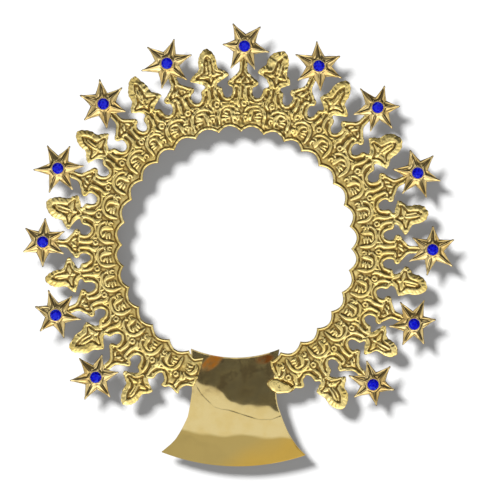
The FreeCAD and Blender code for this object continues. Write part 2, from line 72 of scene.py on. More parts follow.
# ---------------------------------------------------------------- layout of the ring
# Angles of the pattern's axes, counted anticlockwise from +X as seen from the front. Odd places carry leaves, even
# places carry star stems; the first and the last are stubs that were cut off where the ring meets the plate.
AXES = [245.2, 234, 223, 211.75, 200.75, 189.75, 179.25, 168, 156, 145, 133.25, 123, 111, 99, 88, 76.5, 65.75, 55.75,
        44.5, 33, 21, 10, -1.25, -12, -23.5, -34.5, -45.5, -56.25, -67.5, -78.6]
# Star: angle of the centre, radius in units, then per arm (direction, length) and per valley (radius between that arm
# and the next). The stars were cut and set by hand, so each one has its own uneven arms.
STARS = [
    (222.85, 192.1, [(12.4, 23.6), (74.3, 23.6), (131.6, 25.5), (187.7, 26.2), (243.6, 25.2), (305.6, 24.6)], [12.2, 12.6, 12.4, 12.8, 12.4, 11.8]),
    (200.76, 193.3, [(49.9, 25.4), (106.7, 26.3), (158.2, 22.6), (225.8, 23.0), (289.4, 24.7), (350.1, 25.5)], [12.8, 13.0, 11.2, 11.0, 12.4, 12.4]),
    (178.66, 193.8, [(26.3, 24.3), (84.3, 24.1), (141.8, 22.4), (207.3, 22.3), (269.5, 25.3), (330.0, 24.2)], [12.6, 11.6, 11.4, 12.6, 12.8, 12.4]),
    (156.40, 195.0, [(5.4, 26.2), (61.6, 25.5), (115.4, 25.4), (183.4, 24.8), (250.2, 26.2), (304.6, 26.1)], [12.6, 12.8, 9.8, 11.2, 12.6, 12.4]),
    (133.13, 195.0, [(41.2, 25.1), (98.8, 25.3), (159.8, 25.3), (220.3, 25.2), (278.0, 25.0), (341.6, 23.6)], [11.8, 12.8, 13.2, 12.8, 12.4, 12.8]),
    (110.90, 195.7, [(19.1, 26.4), (73.5, 25.7), (140.3, 25.8), (195.9, 26.8), (258.4, 25.9), (320.8, 26.3)], [13.0, 12.0, 12.4, 12.8, 12.4, 12.8]),
    (87.80, 200.2, [(50.6, 25.5), (117.1, 25.7), (175.2, 22.0), (238.3, 26.3), (294.1, 25.7), (346.6, 25.7)], [12.4, 12.0, 12.6, 12.4, 12.8, 11.8]),
    (65.53, 198.1, [(24.8, 23.6), (94.8, 25.0), (154.0, 26.3), (213.9, 26.3), (273.2, 25.3), (332.0, 26.2)], [11.4, 12.8, 12.8, 12.4, 12.8, 12.8]),
    (44.60, 197.6, [(3.4, 22.4), (72.2, 23.2), (132.5, 26.1), (196.1, 25.0), (253.4, 25.2), (305.3, 25.8)], [11.0, 10.4, 12.8, 12.4, 12.6, 12.6]),
    (22.10, 195.0, [(47.8, 23.7), (108.2, 24.4), (171.4, 25.2), (233.4, 25.9), (289.6, 26.5), (341.3, 24.4)], [12.6, 12.6, 12.4, 12.8, 12.8, 10.6]),
    (-0.95, 195.6, [(24.8, 24.0), (88.9, 24.0), (149.3, 23.5), (206.6, 26.1), (257.9, 26.5), (319.9, 26.3)], [12.4, 12.0, 12.4, 12.8, 12.0, 11.6]),
    (-23.66, 193.3, [(11.4, 22.4), (66.8, 26.3), (121.9, 26.1), (185.6, 25.0), (241.6, 24.0), (296.8, 22.6)], [12.6, 13.2, 12.4, 12.8, 11.6, 10.4]),
    (-45.40, 193.8, [(46.4, 25.4), (104.6, 24.9), (159.8, 26.1), (213.6, 22.9), (279.3, 21.7), (345.8, 22.4)], [12.8, 12.4, 12.8, 10.6, 10.4, 13.0]),
]
# Leaf: place -> (tip radius, tip offset, lobe half-width and radius on the + side, the same on the - side, blade
# half-width on the + side, on the - side); radii in units, widths in degrees.
LEAVES = {
    1: (195.3, -0.5, 5.6, 168, 6.5, 169, 2.8, 3.05), 3: (197.4, -0.25, 5.8, 169, 5.2, 169, 3.9, 3.2),
    5: (195.3, 0.0, 6.2, 168, 6.4, 168, 3.2, 2.4), 7: (195.3, -0.9, 6.1, 169, 5.5, 166.5, 3.15, 3.4),
    9: (195.7, -0.5, 5.75, 170, 5.95, 170, 2.6, 3.3), 11: (197.4, -1.5, 5.75, 169.5, 6.0, 168, 3.0, 3.5),
    13: (194.9, 0.0, 6.3, 169, 6.4, 168, 2.75, 2.65), 15: (194.4, -0.25, 6.4, 171, 5.0, 167, 4.0, 2.6),
    17: (195.4, 0.25, 5.6, 168, 6.1, 168, 3.5, 2.65), 19: (194.6, 0.0, 6.1, 169, 5.2, 168, 3.9, 2.85),
    21: (193.7, 0.0, 6.0, 167, 6.0, 168, 3.15, 2.75), 23: (194.8, -0.6, 5.6, 170, 4.9, 169, 3.15, 3.25),
    25: (193.9, 0.5, 6.5, 168, 5.8, 167, 3.15, 2.0), 27: (195.2, -0.5, 6.3, 170, 5.1, 167, 3.55, 3.4),
}
# Radial stretch of the hand-fitted ring, units, against the angle: the top stands a little further out.
STRETCH = [(260, -1.5), (234, -0.5), (222.85, -2.1), (200.8, -0.8), (178.7, -0.3), (156.4, 0.8), (133.1, 0.8), (110.9, 1.5),
           (99, 5.2), (87.8, 6.1), (76.5, 6.5), (65.5, 3.9), (44.6, 3.4), (22.1, 0.8), (-0.95, 1.4), (-12, 0.2),
           (-23.7, -0.8), (-45.4, -0.4), (-56.25, -1.2), (-90, -1.5)]
# First and last place of each of the seven strips. Neighbours meet halfway between two places.
STRIPS = [(0, 4), (5, 8), (9, 12), (13, 16), (17, 20), (21, 24), (25, 28)]

# ---------------------------------------------------------------- pattern
# (offset from the axis in degrees, radius in units)
STEM_EDGE = [(5.58, 146.8), (4.85, 147.3), (4.2, 148.7), (3.75, 150.8), (3.6, 153.2), (3.7, 155.4), (4.05, 156.8), (4.6, 157.3),
             (5.1, 158.4), (5.35, 160.2), (5.2, 162.0), (4.6, 163.6), (3.8, 164.8), (3.2, 166.2), (2.5, 167.8), (1.9, 169.4),
             (1.45, 171.2), (1.25, 173.5), (1.2, 177), (1.2, 182), (1.2, 186.5), (0.8, 188.6), (0.0, 189.2)]
LEAF_FOOT = [(5.58, 146.8), (4.9, 147.4), (4.3, 149.0), (3.95, 151.2), (3.88, 153.5), (3.75, 155.8), (3.3, 157.2), (2.55, 158.2),
             (2.15, 159.4), (2.3, 160.8)]


def along(x, table):
    if x >= table[0][0]:
        return table[0][1]
    for (x0, y0), (x1, y1) in zip(table, table[1:]):
        if x >= x1:
            return y0 + (y1 - y0) * (x0 - x) / (x0 - x1)
    return table[-1][1]


def lean(place):
    """How far the head over a place leans from the axis, in degrees."""
    if place == 1:
        return 0.6
    if place % 2 == 0 and 2 <= place <= 26:
        return STARS[place // 2 - 1][0] - AXES[place]
    return 0.0


def polar(place, d, r):
    """Pattern coordinates to the real angle (degrees) and radius (units)."""
    if d >= 0:
        gap = (AXES[place - 1] - AXES[place]) / 2 if place > 0 else HALF_PITCH
    else:
        gap = (AXES[place] - AXES[place + 1]) / 2
    th = AXES[place] + d / HALF_PITCH * gap
    th += lean(place) * min(1.3, max(0.0, (r - 150) / 45.0))
    return th, r + along(th, STRETCH) * max(0.0, (r - 114) / 81.0)


def xz(th, r):
    t = math.radians(th)
    return (RING_X + U * r * math.cos(t), RING_Z + U * r * math.sin(t))


def at(place, d, r):
    return xz(*polar(place, d, r))


def smooth(points, n=3):
    """Points on the curve through the given ones (Catmull-Rom), n per span."""
    out = []
    for k in range(len(points) - 1):
        p0, p1, p2, p3 = points[max(k - 1, 0)], points[k], points[k + 1], points[min(k + 2, len(points) - 1)]
        for j in range(n):
            t = j / n
            out.append(tuple(0.5 * (2 * b + (c - a) * t + (2 * a - 5 * b + 4 * c - e) * t * t + (3 * b - a - 3 * c + e) * t ** 3)
                             for a, b, c, e in zip(p0, p1, p2, p3)))
    out.append(tuple(points[-1]))
    return out


def leaf_edge(place, side):
    rt, dt, wp, rp, wm, rm, tp, tm = LEAVES[place]
    w, rl, t = (wp, rp, tp) if side > 0 else (wm, rm, tm)
    dt = dt * side
    pts = list(LEAF_FOOT)
    pts += [(0.5 * w + 0.3, rl - 5.4), (0.82 * w, rl - 2.6), (w - 0.12, rl - 0.9), (w, rl + 0.4), (w - 0.3, rl + 2.0),
            (0.55 * w + 0.45 * t + 0.2, rl + 4.4), (t + 0.45, rl + 7.4), (t + 0.12, 179.4), (t + 0.1, 182.2), (t * 0.97, 185.0),
            (t * 0.84 + 0.1 * dt, 188.0), (t * 0.66 + 0.25 * dt, 190.8), (t * 0.40 + 0.6 * dt, rt - 1.8), (t * 0.16 + 0.9 * dt, rt - 0.3),
            (dt, rt)]
    return pts


def head(place, side):
    """Outer edge on one side of a place, from the middle of the notch up to the axis, as pattern points."""
    if place % 2 == 1:
        return leaf_edge(place, side)
    return STEM_EDGE


def rim_r(d):
    return 114.3 + 5.7 * math.sin(math.pi / 2 * min(1.0, abs(d) / HALF_PITCH)) ** 0.92



def strip_outline(first, last):
    """Closed outline of a strip: the inner scallops one way, the outer heads back."""
    inner, outer = [], []
    for place in range(first, last + 1):
        if place == 0:
            # cut end on the plate's left edge: the end edge, the half notch and the cut stub
            inner += [xz(253.3, 115.4)] + [xz(249.5 - 4.3 * k / 4, 119.2 - 0.0 * k) for k in range(1)]
            inner += [at(0, d, rim_r(d)) for d in (3.2, 2.4, 1.6, 0.8, 0.0, -0.93, -1.86, -2.79, -3.72, -4.65)]
            outer += [xz(253.3, 115.4), xz(253.4, 138), xz(252.9, 146.0)]
            outer += [xz(t, r) for t, r in smooth([(252.0, 147.4), (251.0, 147.3), (249.9, 148.3), (249.0, 150.3), (248.4, 153.0), (248.2, 155.5),
                                                   (248.5, 157.8), (247.9, 158.6), (247.0, 158.0), (246.2, 156.8), (245.4, 156.1), (244.6, 155.4),
                                                   (243.9, 155.8), (243.1, 157.4), (242.2, 158.2), (241.3, 157.8), (241.3, 156.2), (241.5, 154.0),
                                                   (241.3, 151.0), (240.7, 149.2), (239.9, 147.6)], 2)]
            continue
        if place == 28:
            # cut end on the plate's right edge: the cut stub and the flat petal-shaped lug
            inner += [at(28, d, rim_r(d)) for d in (4.65, 3.72, 2.79, 1.86, 0.93, 0.0, -1.2, -2.4, -3.6, -4.8)] + [xz(-73.6, 118.6)]
            outer += [xz(t, r) for t, r in smooth([(-62.3, 147.2), (-63.2, 148.4), (-63.8, 150.3), (-63.9, 152.4), (-64.1, 154.6), (-64.9, 155.9),
                                                   (-66.0, 155.4), (-66.9, 153.9), (-67.6, 153.3), (-68.5, 154.6), (-70.0, 155.3), (-72.0, 154.0),
                                                   (-74.4, 152.7), (-76.1, 149.0), (-77.3, 144.6), (-77.7, 140.6), (-77.0, 138.2), (-75.2, 136.9)], 2)]
            outer += [xz(-73.4, 136.0), xz(-74.0, 130.0), xz(-74.2, 124.2), xz(-73.6, 118.6)]
            continue
        n = 6
        inner += [at(place, HALF_PITCH * (1 - k / n), rim_r(HALF_PITCH * (1 - k / n))) for k in range(1 if place > first else 0, 2 * n + 1)]
        a = smooth(head(place, 1), 3)
        b = [(-d, r) for d, r in smooth(head(place, -1), 3)][::-1]
        outer += [at(place, d, r) for d, r in a] + [at(place, d, r) for d, r in b[1:]]
    return inner + outer[::-1]



# ---------------------------------------------------------------- helpers for sheet surfaces
def step(x, a, b):
    t = np.clip((x - a) / (b - a), 0.0, 1.0)
    return t * t * (3 - 2 * t)


def inside(px, pz, poly):
    found = np.zeros(px.shape, bool)
    x0, z0 = poly[-1]
    for x1, z1 in poly:
        if z0 != z1:
            found ^= ((z0 > pz) != (z1 > pz)) & (px < (x1 - x0) * (pz - z0) / (z1 - z0) + x0)
        x0, z0 = x1, z1
    return found


class PolarGrid:
    """Grid of points round the ring's centre: th in degrees, r in units."""

    def __init__(self, th0, th1, r0, r1, dth=0.172, dr=0.42):
        self.th = np.linspace(th0, th1, int(round((th1 - th0) / dth)) + 1)
        self.r = np.linspace(r0, r1, int(round((r1 - r0) / dr)) + 1)
        t, r = np.meshgrid(np.radians(self.th), self.r, indexing="ij")
        self.x, self.z = RING_X + U * r * np.cos(t), RING_Z + U * r * np.sin(t)
        self.T, self.R = np.degrees(t), r

    def window(self, pts, pad):
        mid = (self.th[0] + self.th[-1]) / 2
        th, r = [], []
        for x, z in pts:
            a = math.degrees(math.atan2(z - RING_Z, x - RING_X))
            th.append(a + 360 * round((mid - a) / 360))
            r.append(math.hypot(x - RING_X, z - RING_Z) / U)
        pt = math.degrees(pad / (U * max(60.0, min(r))))
        i0, i1 = np.searchsorted(self.th, [min(th) - pt, max(th) + pt])
        j0, j1 = np.searchsorted(self.r, [min(r) - pad / U, max(r) + pad / U])
        return slice(max(i0 - 1, 0), i1 + 1), slice(max(j0 - 1, 0), j1 + 1)


class PlainGrid:
    """Grid of points over a rectangle, in mm."""

    def __init__(self, x0, x1, z0, z1, d):
        self.xs = np.linspace(x0, x1, int(round((x1 - x0) / d)) + 1)
        self.zs = np.linspace(z0, z1, int(round((z1 - z0) / d)) + 1)
        self.x, self.z = np.meshgrid(self.xs, self.zs, indexing="ij")

    def window(self, pts, pad):
        i0, i1 = np.searchsorted(self.xs, [min(p[0] for p in pts) - pad, max(p[0] for p in pts) + pad])
        j0, j1 = np.searchsorted(self.zs, [min(p[1] for p in pts) - pad, max(p[1] for p in pts) + pad])
        return slice(max(i0 - 1, 0), i1 + 1), slice(max(j0 - 1, 0), j1 + 1)


def edge_distance(grid, runs, reach=2.6):
    """Distance to the nearest run of (x, z) points, and how far along the run that is, within reach."""
    dist = np.full(grid.x.shape, reach)
    where = np.zeros(grid.x.shape)
    start = 0.0
    for run in runs:
        for (x0, z0), (x1, z1) in zip(run, run[1:]):
            dx, dz = x1 - x0, z1 - z0
            n = math.hypot(dx, dz)
            if n < 1e-6:
                continue
            si, sj = grid.window([(x0, z0), (x1, z1)], reach)
            gx, gz = grid.x[si, sj] - x0, grid.z[si, sj] - z0
            t = np.clip((gx * dx + gz * dz) / (n * n), 0, 1)
            d = np.hypot(gx - t * dx, gz - t * dz)
            near = d < dist[si, sj]
            dist[si, sj] = np.where(near, d, dist[si, sj])
            where[si, sj] = np.where(near, start + t * n, where[si, sj])
            start += n
    return dist, where


def stroke(grid, height, pts, widths, h, groove=False):
    """Raise (or sink) a ridge along (x, z) points; widths are full widths in mm. The wider it is, the flatter its top."""
    line = smooth([(x, z, w) for (x, z), w in zip(pts, widths)], 4)
    wide = max(widths)
    power = 2.0 if groove else 2.0 + 2.2 * min(1.0, max(0.0, (wide - 0.8) / 1.0))
    si, sj = grid.window([(x, z) for x, z, w in line], wide / 2 + 0.1)
    gx, gz = grid.x[si, sj], grid.z[si, sj]
    if gx.size == 0:
        return
    best = np.zeros(gx.shape)
    for (x0, z0, w0), (x1, z1, w1) in zip(line, line[1:]):
        dx, dz = x1 - x0, z1 - z0
        n2 = dx * dx + dz * dz
        if n2 < 1e-9:
            continue
        t = np.clip(((gx - x0) * dx + (gz - z0) * dz) / n2, 0, 1)
        d = np.hypot(gx - x0 - t * dx, gz - z0 - t * dz)
        hw = np.maximum((w0 + (w1 - w0) * t) / 2, 0.05)
        best = np.maximum(best, (1 - (d / hw) ** power) * (hw / (wide / 2)) ** 0.6)
    if groove:
        height[si, sj] -= h * best
    else:
        height[si, sj] = np.maximum(height[si, sj], h * best + 0.25 * np.minimum(height[si, sj], 0))


def blur(a, n):
    for _ in range(n):
        p = np.pad(a, 1, mode="edge")
        a = (p[:-2, 1:-1] + 2 * p[1:-1, 1:-1] + p[2:, 1:-1]) / 4
        p = np.pad(a, 1, mode="edge")
        a = (p[1:-1, :-2] + 2 * p[1:-1, 1:-1] + p[1:-1, 2:]) / 4
    return a


def rumple(x, z, seed, wave, parts=9):
    """Seeded smooth unevenness between about -1 and 1, with features about one wave across, in mm."""
    rng = np.random.default_rng(seed)
    out = np.zeros(np.shape(x))
    for _ in range(parts):
        a, k, ph = rng.uniform(0, 2 * math.pi), 2 * math.pi / (wave * rng.uniform(0.7, 1.5)), rng.uniform(0, 2 * math.pi)
        out += np.sin(k * (np.cos(a) * x + np.sin(a) * z) + ph)
    return out / math.sqrt(parts) / 1.2


def cut_surface(x, z, y, sd, extra):
    """The part of a grid surface where sd > 0, cut cleanly along sd = 0.
    Returns points, faces, the pairs along the cut, and the extra values at the points."""
    n, m = x.shape
    idx = np.arange(n * m).reshape(n, m)
    s = sd.ravel().copy()
    s[np.abs(s) < 1e-4] = 1e-4
    ins = s > 0
    a, b, c, d = idx[:-1, :-1].ravel(), idx[1:, :-1].ravel(), idx[1:, 1:].ravel(), idx[:-1, 1:].ravel()
    count = ins[a].astype(int) + ins[b] + ins[c] + ins[d]
    quads = np.stack([a, b, c, d], 1)[count == 4]
    mixed = (count > 0) & (count < 4)
    tris = np.concatenate([np.stack([a, b, c], 1)[mixed], np.stack([a, c, d], 1)[mixed]])
    k = ins[tris].sum(1)
    full = tris[k == 3]

    def turn(t, first):
        rows = np.arange(len(t))
        return np.stack([t[rows, (first + q) % 3] for q in range(3)], 1)
    one = turn(tris[k == 1], np.argmax(ins[tris[k == 1]], 1))
    two = turn(tris[k == 2], np.argmin(ins[tris[k == 2]], 1))
    cuts = np.concatenate([one[:, [0, 1]], one[:, [0, 2]], two[:, [0, 1]], two[:, [0, 2]]])
    lo, hi = cuts.min(1), cuts.max(1)
    keys, back = np.unique(lo.astype(np.int64) * (n * m) + hi, return_inverse=True)
    back = back.ravel()
    lo, hi = keys // (n * m), keys % (n * m)
    f = np.clip(s[lo] / (s[lo] - s[hi]), 0.04, 0.96)
    values = [x.ravel(), y.ravel(), z.ravel()] + [e.ravel() for e in extra]
    points = [np.concatenate([v, v[lo] + (v[hi] - v[lo]) * f]) for v in values]
    back = back + n * m
    n1, n2 = len(one), len(two)
    p, q = back[:n1], back[n1:2 * n1]
    u, v = back[2 * n1:2 * n1 + n2], back[2 * n1 + n2:]
    t_all = np.concatenate([full, np.stack([one[:, 0], p, q], 1), np.stack([u, two[:, 1], two[:, 2]], 1), np.stack([u, two[:, 2], v], 1)])
    rim = np.concatenate([np.stack([p, q], 1), np.stack([v, u], 1)])
    used, new = np.unique(np.concatenate([quads.ravel(), t_all.ravel()]), return_inverse=True)
    new = new.ravel()
    quads_n, t_n = new[:quads.size].reshape(-1, 4), new[quads.size:].reshape(-1, 3)
    table = np.full(points[0].size, -1)
    table[used] = np.arange(len(used))
    return [v[used] for v in points], quads_n, t_n, table[rim]


def make_mesh(name, verts, faces, sharp=None, attrs=None, smooth_faces=True):
    """verts in mm."""
    mesh = bpy.data.meshes.new(name)
    mesh.from_pydata((np.asarray(verts) * MM).tolist(), [], faces)
    mesh.validate()
    if smooth_faces:
        mesh.polygons.foreach_set("use_smooth", np.ones(len(mesh.polygons), bool))
    if sharp is not None:
        pairs = np.zeros(len(mesh.edges) * 2, np.int32)
        mesh.edges.foreach_get("vertices", pairs)
        pairs = pairs.reshape(-1, 2)
        mesh.edges.foreach_set("use_edge_sharp", sharp(pairs))
    for key, values in (attrs or {}).items():
        at_points = mesh.attributes.new(key, "FLOAT", "POINT")
        at_points.data.foreach_set("value", np.asarray(values, np.float32))
    mesh.update()
    obj = bpy.data.objects.new(name, mesh)
    bpy.context.scene.collection.objects.link(obj)
    return obj


def sheet_solid(name, grid, y, sd, thick, extra):
    """Sheet metal piece: front surface y over the grid where sd > 0, the back the given thickness behind it."""
    keys = list(extra)
    vals, quads, tris, rim = cut_surface(grid.x, grid.z, y, sd, [thick] + [extra[k] for k in keys])
    x, yf, z, t = vals[:4]
    n = len(x)
    front = np.stack([x, yf, z], 1)
    rear = np.stack([x, yf + t, z], 1)
    # which way round the front faces run
    q = front[quads[0]] if len(quads) else front[tris[0]]
    normal = np.cross(q[1] - q[0], q[2] - q[0])
    if normal[1] > 0:
        quads, tris, rim = quads[:, ::-1], tris[:, ::-1], rim[:, ::-1]
    faces = quads.tolist() + tris.tolist() + (quads[:, ::-1] + n).tolist() + (tris[:, ::-1] + n).tolist()
    faces += np.stack([rim[:, 1], rim[:, 0], rim[:, 0] + n, rim[:, 1] + n], 1).tolist()
    on_rim = np.zeros(2 * n, bool)
    on_rim[rim.ravel()] = True
    on_rim[rim.ravel() + n] = True

    def sharp(pairs):
        return on_rim[pairs[:, 0]] & on_rim[pairs[:, 1]] & ((pairs[:, 0] < n) == (pairs[:, 1] < n))
    attrs = {}
    for k, v in zip(keys, vals[4:]):
        attrs[k] = np.concatenate([v, v])
    attrs["rear"] = np.concatenate([np.zeros(n), np.ones(n)])
    return make_mesh(name, np.concatenate([front, rear]), faces, sharp, attrs)

# ---------------------------------------------------------------- stamped strips
GROUND = -1.25                 # front of the strip's ground
SKIN = 0.45                    # sheet thickness behind the relief
RELIEF = 0.60                  # depth of the stamping against the pattern's own heights


def real_scallop(place, d, r):
    """Scallop coordinates (degrees from the middle between this place and the next, mirrored on the right half) to real ones."""
    a, b = AXES[place], AXES[place + 1]
    m, g = (a + b) / 2, (a - b) / 2 / HALF_PITCH
    flip = 1 if m > 90 else -1
    th = m + flip * d * g
    return th, r + along(th, STRETCH) * max(0.0, (r - 114) / 81.0)


def scroll_strokes():
    """Ridges of the scroll in one scallop: (points, full widths in units, height in mm)."""
    return [
        ([(4.4, 123.6), (4.4, 128.2), (4.15, 132.8), (3.1, 137.0), (1.4, 139.5), (-0.5, 139.8), (-2.3, 138.9), (-3.6, 136.7), (-4.2, 133.8)],
         [1.5, 2.7, 2.9, 2.8, 2.5, 2.4, 2.3, 2.0, 1.1], 1.05),
        ([(2.3, 134.6), (1.2, 136.2), (-0.1, 136.2), (-1.2, 134.8), (-1.8, 132.0), (-1.95, 129.0), (-1.7, 126.0)],
         [0.8, 1.4, 1.9, 2.7, 3.6, 3.6, 1.6], 1.08),
        ([(0.5, 131.6), (1.3, 133.0), (2.2, 133.6)], [0.9, 1.8, 0.9], 0.8),
        ([(0.5, 129.5), (1.6, 130.4), (2.8, 130.3)], [0.9, 1.9, 0.9], 0.85),
        ([(0.3, 127.3), (1.3, 127.4), (2.5, 127.2)], [0.9, 1.9, 0.9], 0.8),
        ([(-3.0, 127.0), (-3.35, 128.9), (-4.1, 129.2), (-4.5, 127.4), (-4.2, 125.8)], [1.0, 1.7, 1.9, 1.6, 0.9], 0.9),
        ([(-3.1, 131.6), (-3.8, 132.5), (-4.7, 131.8)], [0.9, 1.9, 0.9], 0.85),
        ([(-3.5, 146.0), (-2.0, 143.3), (0, 142.1), (2.0, 143.3), (3.5, 146.0)], [0.6, 1.1, 1.3, 1.1, 0.6], 0.5),
    ]


def axis_strokes():
    ring = []
    for k in range(8):
        a = math.radians(150 - 48 * k)
        ring.append((-0.9 + 0.85 * math.cos(a), 141.3 + 2.2 * math.sin(a)))
    out = [
        ([(0.75, 146.6), (1.6, 144.0), (1.65, 141.2), (0.8, 138.4)], [1.2, 2.7, 2.8, 1.2], 1.0),
        (ring, [1.1, 1.8, 1.9, 1.8, 1.6, 1.4, 1.1, 0.8], 0.95),
        ([(-2.2, 144.2), (-2.75, 142.6), (-2.6, 140.4)], [0.9, 1.7, 0.9], 0.75),
        ([(2.75, 143.6), (2.95, 141.6), (2.5, 139.8)], [0.9, 1.6, 0.8], 0.7),
    ]
    return out


def trunk_strokes(even):
    """The hooks that close the notch edges, and the two legs between them."""
    out = []
    for s in (1, -1):
        if even:
            out += [
                ([(s * 3.0, 157.2), (s * 3.0, 153.6), (s * 3.35, 150.2), (s * 4.1, 148.0)], [1.9, 2.8, 2.4, 1.2], 0.96),
                ([(s * 3.0, 157.0), (s * 2.15, 158.1), (s * 1.3, 157.0)], [2.1, 2.3, 2.1], 1.0),
                ([(s * 1.28, 157.0), (s * 1.15, 152.6), (s * 1.15, 148.6), (s * 1.5, 145.8), (s * 2.2, 143.4)], [2.1, 2.7, 2.9, 2.6, 1.2], 1.0),
            ]
        else:
            out += [
                ([(s * 2.65, 156.6), (s * 3.0, 153.8), (s * 3.45, 150.6), (s * 4.2, 148.2)], [2.0, 3.0, 2.5, 1.2], 0.96),
                ([(s * 2.75, 156.4), (s * 2.1, 157.0), (s * 1.45, 155.8)], [1.7, 2.0, 1.6], 1.0),
                ([(s * 2.5, 164.8), (s * 1.75, 161.6), (s * 1.25, 158.2), (s * 1.0, 154.8), (s * 0.98, 151.2), (s * 1.35, 147.6), (s * 2.3, 144.4)],
                 [1.5, 1.9, 2.0, 2.3, 2.7, 2.7, 1.2], 1.02),
            ]
    return out


def trunk_grooves(even):
    out = []
    for s in (1, -1):
        if even:
            out.append(([(s * 2.2, 156.2), (s * 2.08, 152.4), (s * 2.3, 149.0), (s * 3.1, 146.5), (s * 4.5, 145.0)], [0.6, 1.0, 1.0, 0.9, 0.5], 0.28))
        else:
            out.append(([(s * 1.95, 155.6), (s * 1.9, 152.4), (s * 2.3, 149.2), (s * 3.2, 146.7), (s * 4.6, 145.1)], [0.6, 1.0, 1.0, 0.9, 0.5], 0.28))
        # thin line inside the notch edge
        out.append(([(s * 3.05, 151.6), (s * 3.6, 149.1), (s * 4.4, 147.3), (s * 5.3, 146.2)], [0.4, 0.6, 0.6, 0.4], 0.2))
    if even:
        out.append(([(0, 158.4), (0.05, 154.0), (0, 148.6)], [0.8, 1.1, 0.5], 0.45))
    else:
        out.append(([(0, 163.6), (0, 160.0), (0.04, 155.6), (0, 149.0)], [1.9, 1.6, 1.0, 0.5], 0.5))
    return out


def bouquet_strokes(place):
    """Under a star: side knobs, a small cup and the double neck."""
    rs = STARS[place // 2 - 1][1] - along(AXES[place], STRETCH)
    top = min(181.0, rs - 12.0)
    out = [([(0.75, 161.2), (0.35, 163.4), (-0.35, 165.4)], [1.1, 2.2, 0.9], 0.9)]
    for s in (1, -1):
        ring = [(s * (4.2 + 0.52 * math.cos(math.radians(a))), 160.9 + 1.55 * math.sin(math.radians(a))) for a in range(200, -161, -45)]
        out += [
            (ring, [1.7, 1.9, 1.9, 1.9, 1.9, 1.9, 1.9, 1.9, 1.8], 1.05),
            ([(s * 1.9, 161.2), (s * 1.75, 163.0), (s * 1.15, 164.6)], [0.9, 1.8, 0.8], 0.8),
            ([(s * 3.2, 162.4), (s * 2.9, 164.9), (s * 2.0, 167.0), (s * 1.1, 169.0), (s * 0.7, 172.2), (s * 0.62, 176.0), (s * 0.66, top)],
             [1.3, 2.1, 2.3, 2.1, 1.9, 1.8, 1.1], 1.05),
        ]
    return out


def bouquet_grooves(place):
    out = [([(-3.3, 159.3), (-1.3, 159.9), (1.3, 159.9), (3.3, 159.3)], [0.7, 1.3, 1.3, 0.7], 0.5),
           ([(0.1, 161.2), (-0.1, 159.4), (0, 157.2)], [0.9, 2.0, 0.8], 0.35)]
    for s in (1, -1):
        out.append(([(s * 4.2, 160.4), (s * 4.2, 161.4)], [1.3, 1.3], 0.7))
        out.append(([(s * 3.65, 165.6), (s * 3.35, 163.6), (s * 3.1, 161.6), (s * 2.7, 160.2)], [0.8, 1.1, 1.1, 0.8], 0.45))
        out.append(([(s * 2.45, 161.6), (s * 2.3, 164.2), (s * 1.15, 166.6), (s * 0.3, 168.8)], [0.7, 1.1, 1.1, 0.7], 0.4))
    return out


def leaf_field(place):
    """The sunk field in the middle of a leaf, inside its broad rim, as pattern points."""
    rt, dt, wp, rp, wm, rm, tp, tm = LEAVES[place]
    half = []
    for s, w, rl in ((1, wp, rp), (-1, wm, rm)):
        half.append([(s * d + dt * 0.5 * k, r) for d, r, k in (
            (0.05, rt - 7.2, 1), (0.5, rt - 9.2, 1), (0.95, 183.6, 0.6), (1.2, 179.6, 0.4), (1.3, 176.2, 0.2), (1.6, 173.6, 0), (2.4, 172.2, 0),
            (0.68 * w, 0.5 * (170.6 + rl + 1.4), 0), (0.70 * w, 0.5 * (168.4 + rl - 0.6), 0), (2.5, 167.2, 0), (1.35, 165.6, 0), (0.55, 162.8, 0), (0.06, 159.8, 0))])
    return half[0] + half[1][::-1]


def leaf_strokes(place):
    rt, dt = LEAVES[place][:2]
    rng = np.random.default_rng(300 + place)
    s = 1 if rng.uniform() < 0.5 else -1
    q = rng.uniform(-0.12, 0.12)
    out = [
        ([(s * 0.5 + 0.4 * dt, 184.4), (s * 0.58 + 0.2 * dt, 180.6 + q), (s * 0.5, 175.6), (s * 0.32, 170.6)], [1.2, 2.2, 2.2, 1.2], 1.1),
        ([(-s * 0.42 + 0.2 * dt, 181.8), (-s * 0.5, 177.0), (-s * 0.42, 172.2)], [0.9, 1.5, 0.9], 0.9),
        ([(0.1, 168.8), (0, 166.6), (0, 163.6)], [0.9, 1.9, 1.0], 0.7),
    ]
    for s in (1, -1):
        out.append(([(s * 0.7, 168.8), (s * 1.9, 169.4), (s * 3.3, 169.6)], [1.2, 2.6, 1.2], 0.55))
    return out


def pattern_coordinates(grid, places):
    """For every grid point the nearest place, degrees from its axis and pattern radius."""
    s = np.interp(-grid.T, [-a for a, v in STRETCH], [v for a, v in STRETCH])
    r = np.where(grid.R > 114, (grid.R + s * 114 / 81.0) / (1 + s / 81.0), grid.R)
    place, off = np.full(r.shape, -1), np.full(r.shape, 99.0)
    for p in places:
        shift = AXES[p] + lean(p) * np.minimum(1.3, np.maximum(0.0, (r - 150) / 45.0))
        up = (AXES[p - 1] - AXES[p]) / 2 if p > 0 else HALF_PITCH
        down = (AXES[p] - AXES[p + 1]) / 2
        d = grid.T - shift
        d = np.where(d >= 0, d / up, d / down) * HALF_PITCH
        near = np.abs(d) < np.abs(off)
        place, off = np.where(near, p, place), np.where(near, d, off)
    return place, off, r


def star_polygon(index):
    th, r, arms, valleys = STARS[index]
    cx, cz = xz(th, r)
    pts = []
    for k in range(6):
        a0, l0 = arms[k]
        a1 = arms[(k + 1) % 6][0]
        if a1 < a0:
            a1 += 360
        for a, l in ((a0, l0), ((a0 + a1) / 2, valleys[k])):
            t = math.radians(a)
            pts.append((cx + U * l * math.cos(t), cz + U * l * math.sin(t)))
    return (cx, cz), pts


